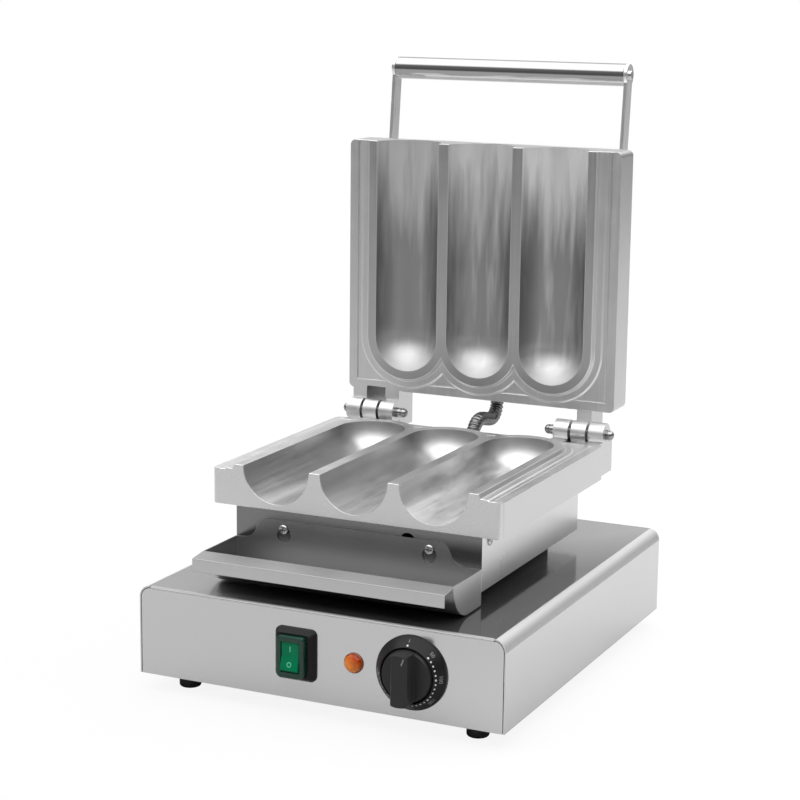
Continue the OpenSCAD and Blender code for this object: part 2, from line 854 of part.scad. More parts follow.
module bottom_plate() {
    color("silver") difference() {
        translate([sheet_t + seat - base_w / 2, front_y + sheet_t + seat, foot_h])
            cube([base_w - 2 * sheet_t - 2 * seat, base_d - 2 * sheet_t - 2 * seat, sheet_t]);
        foot_places() translate([0, 0, foot_h - over])
            cylinder(r = foot_screw_r + screw_play, h = sheet_t + 2 * over);
        translate([stud_x, stud_y, foot_h - over]) cylinder(r = stud_r + thread_play, h = sheet_t + 2 * over);
    }
}

module rubber_feet() {
    color("#2c2c2e") foot_places() rotate_extrude() difference() {
        union() {
            translate([0, foot_round]) square([foot_r, foot_h - foot_round]);
            square([foot_r - foot_round, foot_h]);
            translate([foot_r - foot_round, foot_round]) circle(r = foot_round);
        }
        translate([0, -over]) square([foot_recess_r, foot_recess_h + over]);
        square([foot_screw_r + thread_play, foot_h + over]);
        translate([-foot_r, -over]) square([foot_r, foot_h + 2 * over]);
    }
}

module foot_screws() {
    color("gray") foot_places() {
        translate([0, 0, foot_recess_h]) rotate([180, 0, 0]) pan_head(foot_recess_r - screw_play, nut_h);
        translate([0, 0, foot_recess_h - nut_h / 2])
            cylinder(r = foot_screw_r, h = foot_h - foot_recess_h + 2 * sheet_t + nut_h * 1.5);
        translate([0, 0, foot_h + 2 * sheet_t]) cylinder(r = nut_r, h = nut_h, $fn = 6);
    }
}

// Lower heater unit

module spacer_frame() {
    color("#26262a") translate([0, box_mid_y, base_top]) difference() {
        translate([-spacer_w / 2, -spacer_d / 2, 0]) cube([spacer_w, spacer_d, box_gap]);
        translate([spacer_rail - spacer_w / 2, spacer_rail - spacer_d / 2, -over])
            cube([spacer_w - 2 * spacer_rail, spacer_d - 2 * spacer_rail, box_gap + 2 * over]);
        for (x = [-1, 1], y = [-1, 1]) translate([x * bolt_x, y * bolt_y, -over])
            cylinder(r = bolt_r + screw_play, h = box_gap + 2 * over);
    }
}

module spacer_bolts() {
    color("gray") bolt_places() {
        translate([0, 0, base_top - sheet_t - nut_h]) cylinder(r = nut_r, h = nut_h, $fn = 6);
        translate([0, 0, base_top - sheet_t - nut_h / 2])
            cylinder(r = bolt_r, h = box_gap + 2 * sheet_t + nut_h * 2);
        translate([0, 0, box_z + sheet_t]) cylinder(r = nut_r, h = nut_h, $fn = 6);
    }
}

module lower_housing() {
    color("#b9bbbc") difference() {
        in_lower() heater_box(box_h);
        translate([0, box_mid_y, box_z - over]) cylinder(r = wire_hole_r, h = sheet_t + 2 * over);
        bolt_places() translate([0, 0, box_z - over]) cylinder(r = bolt_r + screw_play, h = sheet_t + 2 * over);
        for (x = [-tray_screw_x, tray_screw_x]) translate([x, 0, box_z + tray_screw_z])
            along_y(tray_screw_r + screw_play, box_front_y - over, box_front_y + sheet_t + over);
        translate([vent_x, 0, box_z + vent_z]) along_y(vent_r, box_front_y - over, box_front_y + sheet_t + over);
    }
}

module lower_housing_screws() {
    color("silver") in_lower() box_screws();
}

module lower_plate() {
    color("#c4c6c8") in_lower() cast_plate();
}

module lower_element() {
    color("#5b5d60") in_lower() heating_rod();
}

module lower_clamp_strips() {
    color("gray") in_lower() clamp_strips();
}

module lower_clamp_screws() {
    color("silver") in_lower() clamp_screws();
}

module lower_insulation() {
    color("ivory") difference() {
        in_lower() insulation_pad(box_h);
        bolt_places() translate([0, 0, box_z + sheet_t / 2]) cylinder(r = pad_screw_r, h = pad_t + sheet_t);
    }
}

module hinge_pin_right() {
    color("#d8dadb") in_lower() hinge_pin();
}

module thermostat_bulb() {
    color("#b87333") translate([0, box_mid_y, hinge_z - plate_t - seat - bulb_r])
        along_y(bulb_r, -bulb_l / 2, bulb_l / 2);
}

// Controls

module thermostat_body() {
    color("#d9d6cc") translate([dial_x, 0, control_level]) difference() {
        union() {
            translate([0, front_y + sheet_t + stat_d / 2, 0]) cube([stat_w, stat_d, stat_w], center = true);
            along_y(bush_r, front_y - bush_out, front_y + sheet_t + over);
        }
        along_y(shaft_r + pin_play, front_y - bush_out - over, front_y + shaft_in + over);
        for (x = [-stat_screw_x, stat_screw_x]) translate([x, 0, 0])
            along_y(stat_screw_r + thread_play, front_y, front_y + stat_screw_l + over);
    }
}

module thermostat_shaft() {
    color("#cfd1d3") translate([dial_x, 0, control_level])
        along_y(shaft_r, front_y - dial_t - dial_clear - knob_skirt + shaft_end / 2, front_y + shaft_in);
}

module thermostat_screws() {
    color("silver") for (x = [-stat_screw_x, stat_screw_x]) translate([dial_x + x, front_y, control_level]) {
        rotate([90, 0, 0]) pan_head(stat_head_r, stat_head_h);
        along_y(stat_screw_r, -stat_head_h / 2, stat_screw_l);
    }
}

module dial_plate() {
    color("#3a3a3d") translate([dial_x, front_y, control_level]) difference() {
        along_y(dial_r, -dial_t, 0);
        along_y(dial_recess_r, dial_face - dial_t, over);
        along_y(dial_hole_r, -dial_t - over, over);
    }
}

module thermostat_knob() {
    back = dial_t + dial_clear;
    reach = knob_out - back;
    color("#303033") translate([dial_x, front_y - back, control_level]) rotate([90, 0, 0]) difference() {
        union() {
            rotate_extrude() polygon([
                [0, 0], [knob_r, 0], [knob_r, knob_skirt / 2], [knob_r - grip_edge, knob_skirt], [0, knob_skirt]
            ]);
            translate([0, 0, bush_out + stop_clear - back]) cylinder(r = hub_r, h = back);
            intersection() {
                cylinder(r = knob_r - grip_edge / 2, h = reach);
                rotate([90, 0, 0]) linear_extrude(2 * knob_r, center = true) polygon([
                    [-knob_grip_w / 2, 0], [knob_grip_w / 2, 0],
                    [knob_grip_w / 2, reach - grip_edge], [knob_grip_w / 2 - grip_edge, reach],
                    [grip_edge - knob_grip_w / 2, reach], [-knob_grip_w / 2, reach - grip_edge]
                ]);
            }
        }
        translate([0, 0, -back - over]) cylinder(r = shaft_r + pin_play, h = back + knob_skirt - shaft_end / 2 + over + seat);
    }
}

module pilot_lens() {
    color("#e8701c") translate([lamp_x, front_y, control_level]) rotate([90, 0, 0]) {
        rotate_extrude() intersection() {
            square([lamp_r, lamp_out]);
            union() {
                square([lamp_r, lamp_flange]);
                translate([0, lamp_flange]) scale((lamp_out - lamp_flange) / lamp_r)
                    circle(r = lamp_r);
                translate([0, lamp_out - lamp_r]) circle(r = lamp_r);
            }
        }
        translate([0, 0, -lamp_stem_l]) cylinder(r = lamp_stem_r, h = lamp_stem_l + lamp_flange);
    }
}

module pilot_holder() {
    color("#e9e7df") translate([lamp_x, front_y + sheet_t, control_level]) difference() {
        union() {
            along_y(lamp_ring_r, 0, lamp_ring_t);
            along_y(lamp_body_r, 0, lamp_body_l);
        }
        along_y(lamp_stem_r + seat, -over, lamp_stem_l - sheet_t + seat);
    }
}

module switch_housing() {
    color("#2b2b2d") translate([-switch_x, front_y, control_level]) difference() {
        union() {
            hull() {
                rotate([90, 0, 0]) linear_extrude(sheet_t) round_rect(switch_w, switch_h, switch_corner, $fn = 32);
                translate([0, sheet_t - switch_out, 0]) rotate([90, 0, 0]) linear_extrude(sheet_t)
                    round_rect(switch_face_w, switch_face_h, switch_corner / 2, $fn = 32);
            }
            translate([0, switch_body_d / 2 - over, 0])
                cube([switch_body_w, switch_body_d + 2 * over, switch_body_h], center = true);
        }
        translate([0, window_d - switch_out, 0]) rotate([90, 0, 0]) linear_extrude(window_d + over)
            round_rect(window_w, window_h, window_corner);
        translate([0, (rocker_pocket_d - switch_out) / 2, 0])
            cube([rocker_w + 2 * rocker_gap, rocker_pocket_d + switch_out, rocker_l + 2 * rocker_gap], center = true);
        translate([0, -rocker_axis_out, 0])
            along_x(rocker_pin_r + thread_play, -rocker_w / 2 - 2 * over, rocker_w / 2 + 2 * over);
        for (z = [-tab_pitch / 2, tab_pitch / 2]) translate([0, switch_body_d, z])
            cube([tab_w + seat, 2 * over, tab_t + seat], center = true);
    }
}

module switch_window() {
    color("#0d4a34") translate([-switch_x, front_y - switch_out + window_d - seat / 2, control_level])
        rotate([90, 0, 0]) linear_extrude(window_d + collar_out - switch_out - seat) difference() {
            round_rect(window_w - seat, window_h - seat, window_corner);
            square([rocker_w + 2 * rocker_gap, rocker_l + 2 * rocker_gap], center = true);
        }
}

module switch_pin() {
    color("silver") translate([-switch_x, front_y - rocker_axis_out, control_level])
        along_x(rocker_pin_r, -rocker_w / 2 - over, rocker_w / 2 + over);
}

// The tabs stop at the body's back, in shallow slots
module switch_terminals() {
    color("#c8a24a") for (z = [-tab_pitch / 2, tab_pitch / 2])
        translate([-switch_x, front_y + switch_body_d - over / 2 + tab_l / 2, control_level + z])
            cube([tab_w, tab_l, tab_t], center = true);
}

// The rocker's ends are arcs about its pin, so its gap stays even as it tilts
module switch_rocker() {
    rise = rocker_l / 2 * tan(rocker_tilt);
    color("#12875a") translate([-switch_x, front_y - rocker_axis_out, control_level])
        rotate([-rocker_tilt, 0, 0]) difference() {
            rotate([0, -90, 0]) linear_extrude(rocker_w, center = true) intersection() {
                circle(r = rocker_l / 2);
                polygon([
                    [-rocker_l / 2, -rocker_front - rise], [0, -rocker_front],
                    [rocker_l / 2, -rocker_front - rise], [rocker_l / 2, 0],
                    [rocker_heel, rocker_back], [-rocker_heel, rocker_back], [-rocker_l / 2, 0]
                ]);
            }
            along_x(rocker_pin_r + pin_play, -rocker_w, rocker_w);
        }
}

// Wiring parts on the floor of the casing

floor_z = foot_h + sheet_t;
pole_pitch = block_w / block_poles;
pole_xs = [for (i = [0 : block_poles - 1]) (i + 0.5) * pole_pitch - block_w / 2];

module terminal_block() {
    color("#ece8dc") translate([block_x, block_y, floor_z]) difference() {
        translate([-block_w / 2, -block_d / 2, 0]) cube([block_w, block_d, block_h]);
        for (x = pole_xs) {
            translate([x, 0, block_h / 3]) along_y(block_screw_r, -block_d / 2 - over, block_d / 2 + over);
            for (y = [-block_d / 4, block_d / 4]) translate([x, y, block_h / 3])
                cylinder(r = block_screw_r + thread_play, h = block_h);
        }
    }
}

module terminal_screws() {
    color("#c8a24a") translate([block_x, block_y, floor_z]) for (x = pole_xs, y = [-block_d / 4, block_d / 4])
        translate([x, y, block_h / 3 + block_screw_r]) cylinder(r = block_screw_r, h = block_h / 2);
}

module earth_stud() {
    color("#c8a24a") translate([stud_x, stud_y, 0]) {
        translate([0, 0, foot_h]) cylinder(r = stud_r, h = stud_h);
        translate([0, 0, floor_z]) cylinder(r = stud_nut_r, h = stud_nut_h, $fn = 6);
    }
}

module mains_gland() {
    color("#2b2b2d") translate([-gland_x, back_y, control_level]) difference() {
        union() {
            rotate([-90, 0, 0]) cylinder(r = gland_hex_r, h = gland_hex_t, $fn = 6);
            along_y(gland_r, gland_hex_t, gland_cap_l - gland_r / 4);
            translate([0, gland_cap_l - gland_r / 4, 0]) rotate([-90, 0, 0])
                cylinder(r1 = gland_r, r2 = gland_r * 3 / 4, h = gland_r / 4);
            along_y(gland_thread_r, -sheet_t - 2 * gland_nut_t, over);
        }
        along_y(gland_bore, -sheet_t - 2 * gland_nut_t - over, gland_cap_l + over);
    }
}

module gland_nut() {
    color("#2b2b2d") translate([-gland_x, back_y - sheet_t, control_level]) difference() {
        rotate([90, 0, 0]) cylinder(r = gland_hex_r, h = gland_nut_t, $fn = 6);
        along_y(gland_thread_r + thread_play, -gland_nut_t - over, over);
    }
}

// The thermostat's capillary runs from its back up through the wiring holes to the bulb
stat_back_y = front_y + sheet_t + stat_d;
capillary_r = 1;
bulb_end_y = box_mid_y - bulb_l / 2;
bulb_z = hinge_z - plate_t - seat - bulb_r;
strip_clear = strip_pitch - strip_w;
capillary_route = [
    [dial_x, stat_back_y + seat, control_level],
    [dial_x, stat_back_y + 12, control_level],
    [70, -100, 46], [40, -60, 42], [12, -25, 50], [6, box_mid_y - 5, 66], [4, box_mid_y - 1, 84],
    [3, box_mid_y - 3, 104], [3, box_mid_y - 7, 114], [1, bulb_end_y + 18, 118], [0, bulb_end_y - 14, 119],
    [0, bulb_end_y - 27, 124], [0, bulb_end_y - 29, 133], [0, bulb_end_y - 22, 141],
    [0, bulb_end_y - 12, bulb_z], [0, bulb_end_y - seat, bulb_z]
];

module capillary_tube() {
    color("#b87333") rod_along(capillary_route, capillary_r, 8, 3);
}

// Each wire runs from one terminal to the next
wire_r = 1.2;
base_routes = [
    [[-69, 100, 20.9], [-69, 92, 20.9], [-69, 84, 20.9], [-66, 60, 19], [-60, 0, 19], [-40, -90, 22],
        [-20, -130, 36], [-switch_x, -142, 43.4], [-switch_x, -150.6, 43.4]],
    [[-switch_x, -150.6, 59.4], [-switch_x, -142, 59.4], [10, -130, 64], [50, -130, 64],
        [dial_x + 5, -138, 60], [dial_x + 8, -146, 60], [dial_x + 8, -152, 60]],
    [[-57, 100, 20.9], [-57, 92, 20.9], [-57, 84, 20.9], [-50, 40, 19], [0, -50, 19], [60, -110, 24],
        [dial_x - 7, -138, 40], [dial_x - 7, -146, 42], [dial_x - 7, -152, 42]],
    [[-45, 100, 20.9], [-45, 92, 20.9], [-45, 84, 20.9], [-38, 40, 26], [-10, -30, 28], [20, -100, 32],
        [lamp_x, -140, 50], [lamp_x, -148, 51.4], [lamp_x, -158, 51.4]],
    [[-33, 110, 20.9], [-33, 118, 20.9], [-33, 124, 21], [-26, 130, 28], [-10, 132, 50], [-2.9, 124, 74],
        [-2.9, 122, 84], [-2.9, 122, 92]],
    [[-21, 110, 20.9], [-21, 118, 20.9], [-21, 124, 21], [-14, 130, 28], [6, 132, 50], [2.9, 124, 74],
        [2.9, 122, 84], [2.9, 122, 92]],
    [[-33, 100, 20.9], [-33, 92, 20.9], [-33, 84, 20.9], [-20, 40, 30], [-6, box_mid_y + 11, 60], [-6, box_mid_y + 1, 80],
        [-6, box_mid_y - 1, 104], [-8, box_mid_y - 5, 114], [-30, -40, 118], [-70, -90, 120], [-75, -104, 128],
        [-75, -104, 138], [-75, -101, 141.3], [-75, -95.8, 141.3]],
    [[-21, 100, 20.9], [-21, 92, 20.9], [-21, 84, 20.9], [-6, 40, 30], [8, box_mid_y + 13, 60], [10, box_mid_y + 3, 80],
        [10, box_mid_y + 1, 104], [12, box_mid_y - 3, 114], [34, -40, 118], [72, -90, 120], [75, -104, 128],
        [75, -104, 138], [75, -101, 141.3], [75, -95.8, 141.3]]
];
lid_routes = [
    for (x = [-1, 1]) [
        [2.9 * x, 180.7, 200], [2.9 * x, 180.7, 214], [10 * x, 183, 240], [40 * x, 183, 330],
        [72 * x, 183, 395], [75 * x, 180, 412], [75 * x, 172, 414], [75 * x, 169.1, 412],
        [75 * x, 169.1, 406.2]
    ]
];

module base_wiring() {
    color("#8a4b2a") for (route = base_routes) rod_along(route, wire_r, 8, 4);
}

module lid_wiring() {
    color("#8a4b2a") for (route = lid_routes) rod_along(route, wire_r, 8, 4);
}

// Conduit and its glands

module collar(nut_under) {
    difference() {
        union() {
            cylinder(r = collar_r, h = collar_h / 2, $fn = 6);
            cylinder(r = collar_r * cos(30), h = collar_h);
            translate([0, 0, -sheet_t - nut_under]) cylinder(r = collar_stem_r, h = sheet_t + nut_under + over);
            translate([0, 0, -sheet_t - nut_under]) cylinder(r = collar_nut_r, h = nut_under, $fn = 6);
        }
        translate([0, 0, -sheet_t - nut_under - over])
            cylinder(r = conduit_bore, h = collar_h + sheet_t + nut_under + 2 * over);
    }
}

module conduit_gland_base() {
    color("#b4b6b8") translate([0, conduit_y, base_top]) collar(collar_nut_t);
}

module conduit_gland_lid() {
    color("#b4b6b8") translate([0, conduit_end_y, lid_box_end_z]) rotate([180, 0, 0]) collar(collar_nut_t);
}

// Ribs stand between one plain diameter at each end
module lid_conduit() {
    plain = 2 * conduit_r;
    step = (conduit_l - 2 * plain) / (2 * rib_count);
    marks = concat([0], [for (i = [0 : 2 * rib_count]) plain + i * step], [conduit_l]);
    radii = concat([conduit_r - rib_depth],
        [for (i = [0 : 2 * rib_count]) i % 2 == 0 ? conduit_r - rib_depth : conduit_r],
        [conduit_r - rib_depth]);
    outer = [for (i = [0 : len(marks) - 1]) conduit_ring(marks[i], radii[i])];
    inner = [for (s = marks) conduit_ring(s, conduit_bore)];
    color("#a9abad") ring_skin(outer, inner, conduit_sides);
}

// Lid

module upper_plate() {
    color("#c4c6c8") in_lid() cast_plate();
}

// The conduit's place in the lid box's end wall, in the lid's frame
lid_conduit_z = -(conduit_end_y - hinge_y);
box_rear_local = box_front_local + box_d;

// Tube axis in the lid's frame: Y counts up from the hinge, Z back from the meeting face
grip_local_y = -hinge_back - grip_rise;
grip_local_z = -(grip_y - hinge_y);
arm_x = box_w / 2 + seat;
arm_screw_at_shares = [0.98, 0.76];

module arm_places() {
    for (x = [-1, 1]) translate([x * (arm_x + arm_t / 2), grip_local_y, grip_local_z])
        rotate([arm_lean, 0, 0]) children();
}

module upper_housing() {
    color("#b9bbbc") in_lid() difference() {
        heater_box(lid_box_h);
        translate([0, 0, lid_conduit_z])
            along_y(collar_stem_r + screw_play, box_rear_local - sheet_t - over, box_rear_local + over);
        arm_places() for (s = arm_screw_at_shares) translate([0, s * arm_l, 0])
            rotate([0, 90, 0]) cylinder(r = arm_screw_r + screw_play, h = 2 * (arm_t + sheet_t + over), center = true);
    }
}

module upper_housing_screws() {
    color("silver") in_lid() box_screws();
}

module upper_element() {
    color("#5b5d60") in_lid() heating_rod();
}

module upper_clamp_strips() {
    color("gray") in_lid() clamp_strips();
}

module upper_clamp_screws() {
    color("silver") in_lid() clamp_screws();
}

module upper_insulation() {
    color("ivory") in_lid() insulation_pad(lid_box_h);
}

module hinge_pin_left() {
    color("#d8dadb") in_lid() hinge_pin();
}

module handle_arms() {
    color("#b2b4b6") in_lid() arm_places() rotate([0, 90, 0]) linear_extrude(arm_t, center = true) difference() {
        union() {
            circle(r = grip_r);
            translate([-arm_w / 2, 0]) square([arm_w, arm_l]);
            translate([0, arm_l]) circle(r = arm_w / 2);
        }
        circle(r = arm_screw_r + screw_play);
        for (s = arm_screw_at_shares) translate([0, s * arm_l]) circle(r = arm_screw_r + screw_play);
    }
}

arm_head_h = 2;
arm_nut_gap = 6;

module arm_screws() {
    color("silver") in_lid() for (x = [-1, 1]) translate([x * (arm_x + arm_t), grip_local_y, grip_local_z])
        rotate([arm_lean, 0, 0]) for (s = arm_screw_at_shares) translate([0, s * arm_l, 0]) rotate([0, 90 * x, 0]) {
            pan_head(arm_screw_r * 1.8, arm_head_h);
            translate([0, 0, -arm_t - sheet_t - arm_nut_gap])
                cylinder(r = arm_screw_r, h = arm_t + sheet_t + arm_nut_gap + arm_head_h / 2);
            translate([0, 0, -arm_t - seat - sheet_t - nut_h]) cylinder(r = nut_r, h = nut_h, $fn = 6);
        }
}

module handle_tube() {
    color("#dcdee0") translate([0, hinge_y - grip_local_z, hinge_z - grip_local_y]) difference() {
        along_x(grip_r, seat - arm_x, arm_x - seat);
        along_x(grip_r - grip_wall, -arm_x, arm_x);
    }
}

plug_l = 12;

module grip_plugs() {
    color("gray") translate([0, hinge_y - grip_local_z, hinge_z - grip_local_y]) for (x = [-1, 1]) difference() {
        translate([x * (arm_x - seat - plug_l / 2), 0, 0]) rotate([0, 90, 0])
            cylinder(r = grip_r - grip_wall - seat, h = plug_l, center = true);
        translate([x * (arm_x - plug_l / 2), 0, 0]) rotate([0, 90, 0])
            cylinder(r = arm_screw_r + thread_play, h = plug_l + 2 * over, center = true);
    }
}

module grip_screws() {
    color("silver") translate([0, hinge_y - grip_local_z, hinge_z - grip_local_y]) for (x = [-1, 1])
        translate([x * (arm_x + arm_t), 0, 0]) rotate([0, 90 * x, 0]) {
            pan_head(arm_screw_r * 1.6, arm_head_h);
            translate([0, 0, -arm_t - plug_l]) cylinder(r = arm_screw_r, h = arm_t + plug_l + arm_head_h / 2);
        }
}

// Drip tray

tray_back_y = box_front_y - seat;
tray_floor_z = base_top + tray_lift;
tray_rim_z = tray_floor_z + trough_h;
trough_out_y = tray_back_y - tray_t - trough_flat;
tray_w = box_w;
bead = tray_t / 2;
shoulder_r = (pow(shoulder_w, 2) + pow(upstand_h, 2)) / (4 * upstand_h);
shoulder_a = asin(shoulder_w / 2 / shoulder_r);
shoulder_steps = 6;

// The trough's section, as [y, z], from the back wall round to the front rim
module trough_section(inset) {
    r = trough_h - inset;
    intersection() {
        union() {
            intersection() {
                translate([trough_out_y, tray_rim_z]) circle(r = r);
                translate([trough_out_y - trough_h, tray_floor_z]) square(trough_h);
            }
            translate([trough_out_y, tray_floor_z + inset])
                square([tray_back_y - inset - trough_out_y, trough_h]);
        }
        translate([trough_out_y - trough_h, tray_floor_z]) square([tray_back_y - trough_out_y + trough_h, trough_h]);
    }
}

module across(w) {
    rotate([90, 0, 90]) linear_extrude(w, center = true) children();
}

module drip_tray_screw_cuts() {
    for (x = [-tray_screw_x, tray_screw_x]) translate([x, 0, box_z + tray_screw_z]) {
        along_y(tray_screw_r + 2 * screw_play, tray_back_y - tray_t - over, tray_back_y + over);
        translate([0, 0, -keyhole_drop]) along_y(keyhole_r, tray_back_y - tray_t - over, tray_back_y + over);
        translate([-tray_screw_r - 2 * screw_play, tray_back_y - tray_t - over, -keyhole_drop])
            cube([2 * tray_screw_r + 4 * screw_play, tray_t + 2 * over, keyhole_drop]);
    }
}

module drip_tray() {
    rim_y = trough_out_y - trough_h;
    color("#a4a6a8") difference() {
        union() {
            across(tray_w) difference() {
                trough_section(0);
                translate([0, over]) trough_section(tray_t + over);
                trough_section(tray_t);
            }
            for (x = [-1, 1]) translate([x * (tray_w / 2 - tray_t / 2), 0, 0]) across(tray_t) trough_section(0);
            // Front rim with its turned-down edge
            across(tray_w) polygon([
                [rim_y + tray_t, tray_rim_z], [rim_y + tray_t, tray_rim_z - tray_t],
                [rim_y - rim_w + tray_t, tray_rim_z - rim_fall - tray_t],
                [rim_y - rim_w + tray_t, tray_rim_z - rim_fall - rim_drop],
                [rim_y - rim_w, tray_rim_z - rim_fall - rim_drop],
                [rim_y - rim_w, tray_rim_z - rim_fall - bead],
                [rim_y - rim_w + bead, tray_rim_z - rim_fall], [rim_y, tray_rim_z]
            ]);
            // Upstand with curved shoulders, hung on the box's front
            translate([-upstand_shift, tray_back_y, tray_rim_z]) rotate([90, 0, 0]) linear_extrude(tray_t) polygon(concat(
                [[-upstand_half - shoulder_w, -over], [upstand_half + shoulder_w, -over]],
                [for (i = [0 : shoulder_steps]) let (a = shoulder_a * i / shoulder_steps)
                    [upstand_half + shoulder_w - shoulder_r * sin(a), shoulder_r * (1 - cos(a))]],
                [for (i = [shoulder_steps - 1 : -1 : 0]) let (a = shoulder_a * i / shoulder_steps)
                    [upstand_half + shoulder_r * sin(a), upstand_h - shoulder_r * (1 - cos(a))]],
                [for (i = [0 : shoulder_steps - 1]) let (a = shoulder_a * i / shoulder_steps)
                    [-upstand_half - shoulder_r * sin(a), upstand_h - shoulder_r * (1 - cos(a))]],
                [for (i = [shoulder_steps : -1 : 0]) let (a = shoulder_a * i / shoulder_steps)
                    [-upstand_half - shoulder_w + shoulder_r * sin(a), shoulder_r * (1 - cos(a))]]
            ));
        }
        drip_tray_screw_cuts();
    }
}

tray_screw_l = 8;

module tray_screws() {
    color("silver") for (x = [-tray_screw_x, tray_screw_x]) translate([x, 0, box_z + tray_screw_z]) {
        translate([0, tray_back_y - tray_t - seat, 0]) rotate([90, 0, 0]) pan_head(tray_head_r, tray_head_r / 2);
        along_y(tray_screw_r, tray_back_y - tray_t - seat - tray_head_r / 4, box_front_y + tray_screw_l);
        translate([0, box_front_y + sheet_t, 0]) rotate([-90, 0, 0]) cylinder(r = nut_r, h = nut_h, $fn = 6);
    }
}

base_shell();
rear_panel();
bottom_plate();
rubber_feet();
foot_screws();
spacer_frame();
spacer_bolts();
lower_housing();
lower_housing_screws();
lower_plate();
lower_element();
lower_clamp_strips();
lower_clamp_screws();
lower_insulation();
hinge_pin_right();
tray_screws();
thermostat_body();
thermostat_screws();
thermostat_bulb();
capillary_tube();
dial_plate();
pilot_lens();
pilot_holder();
switch_housing();
switch_window();
switch_pin();
switch_terminals();
terminal_block();
terminal_screws();
earth_stud();
mains_gland();
gland_nut();
base_wiring();
conduit_gland_base();
lid_conduit();
upper_plate();
upper_housing();
upper_housing_screws();
upper_element();
upper_clamp_strips();
upper_clamp_screws();
upper_insulation();
hinge_pin_left();
handle_arms();
arm_screws();
handle_tube();
grip_plugs();
grip_screws();
conduit_gland_lid();
lid_wiring();
thermostat_knob();
thermostat_shaft();
switch_rocker();
drip_tray();
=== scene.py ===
import math
import bmesh
import bpy
from mathutils import Matrix, Vector


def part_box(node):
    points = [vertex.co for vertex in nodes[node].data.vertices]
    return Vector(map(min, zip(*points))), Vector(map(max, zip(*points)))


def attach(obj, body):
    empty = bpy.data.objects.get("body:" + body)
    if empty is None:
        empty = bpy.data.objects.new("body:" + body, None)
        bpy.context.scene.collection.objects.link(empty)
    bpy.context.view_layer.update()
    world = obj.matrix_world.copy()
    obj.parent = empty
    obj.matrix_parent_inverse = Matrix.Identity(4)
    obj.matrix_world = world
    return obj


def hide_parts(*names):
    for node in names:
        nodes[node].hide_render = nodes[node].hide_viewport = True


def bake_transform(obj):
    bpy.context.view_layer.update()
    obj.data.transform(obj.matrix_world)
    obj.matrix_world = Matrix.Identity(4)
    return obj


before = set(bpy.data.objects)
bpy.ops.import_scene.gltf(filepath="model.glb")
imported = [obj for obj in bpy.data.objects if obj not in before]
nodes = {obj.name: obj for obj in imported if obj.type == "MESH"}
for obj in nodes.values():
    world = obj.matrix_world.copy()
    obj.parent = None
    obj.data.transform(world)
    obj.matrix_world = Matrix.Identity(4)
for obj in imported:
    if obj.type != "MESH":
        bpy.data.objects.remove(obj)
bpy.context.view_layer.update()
mm = 0.001
micron = 0.000001
print("stage: packed model loaded")

# camera at the photograph's angle
camera = {
    "place": (0.7272113, -1.5825559, 0.580997),
    "yaw": 0.4379,
    "pitch": 0.2028,
    "roll": 0.0112,
    "lens": 95.469,
    "sensor": 36,
    "near": 0.05,
    "far": 20,
}


def makeCamera(look):
    yaw, pitch, roll = look["yaw"], look["pitch"], look["roll"]
    ahead = Vector((-math.sin(yaw) * math.cos(pitch), math.cos(yaw) * math.cos(pitch), -math.sin(pitch)))
    right = Vector((math.cos(yaw), math.sin(yaw), 0))
    up = right.cross(ahead)
    sideways = math.cos(roll) * right + math.sin(roll) * up
    upward = -math.sin(roll) * right + math.cos(roll) * up
    data = bpy.data.cameras.new("photoCamera")
    data.lens = look["lens"]
    data.sensor_width = look["sensor"]
    data.clip_start = look["near"]
    data.clip_end = look["far"]
    holder = bpy.data.objects.new("photoCamera", data)
    bpy.context.scene.collection.objects.link(holder)
    turn = Matrix((sideways, upward, -ahead)).transposed()
    holder.matrix_world = Matrix.Translation(Vector(look["place"])) @ turn.to_4x4()
    bpy.context.scene.camera = holder


makeCamera(camera)
print("stage: camera")


# node graphs of the materials, the floor and the world
class NodeGraph:
    def __init__(self, tree):
        self.tree = tree
        tree.nodes.clear()

    def add(self, kind, **values):
        node = self.tree.nodes.new(kind)
        for key, value in values.items():
            setattr(node, key, value)
        return node

    def feed(self, socket, value):
        if isinstance(value, bpy.types.NodeSocket):
            self.tree.links.new(value, socket)
        else:
            socket.default_value = value

    def ranged(self, value, low, high, fromLow=0.3, fromHigh=0.7, ease="LINEAR"):
        node = self.add("ShaderNodeMapRange", interpolation_type=ease)
        names = ("Value", "From Min", "From Max", "To Min", "To Max")
        for name, given in zip(names, (value, fromLow, fromHigh, low, high)):
            self.feed(node.inputs[name], given)
        return node.outputs["Result"]

    def maths(self, operation, a, b):
        node = self.add("ShaderNodeMath", operation=operation)
        self.feed(node.inputs[0], a)
        self.feed(node.inputs[1], b)
        return node.outputs[0]

    def dot(self, place, way):
        node = self.add("ShaderNodeVectorMath", operation="DOT_PRODUCT")
        self.feed(node.inputs[0], place)
        self.feed(node.inputs[1], way)
        return node.outputs["Value"]

    def axis(self, place, name):
        node = self.add("ShaderNodeSeparateXYZ")
        self.feed(node.inputs[0], place)
        return node.outputs[name]

    def mixedNumbers(self, factor, first, second):
        node = self.add("ShaderNodeMix", data_type="FLOAT")
        for at, value in ((0, factor), (2, first), (3, second)):
            self.feed(node.inputs[at], value)
        return node.outputs[0]

    def mixedColours(self, factor, first, second):
        node = self.add("ShaderNodeMix", data_type="RGBA")
        self.feed(node.inputs[0], factor)
        for at, value in ((6, first), (7, second)):
            self.feed(node.inputs[at], (*value, 1) if isinstance(value, tuple) else value)
        return node.outputs[2]

    def mixedShaders(self, factor, first, second):
        node = self.add("ShaderNodeMixShader")
        for at, value in enumerate((factor, first, second)):
            self.feed(node.inputs[at], value)
        return node.outputs[0]


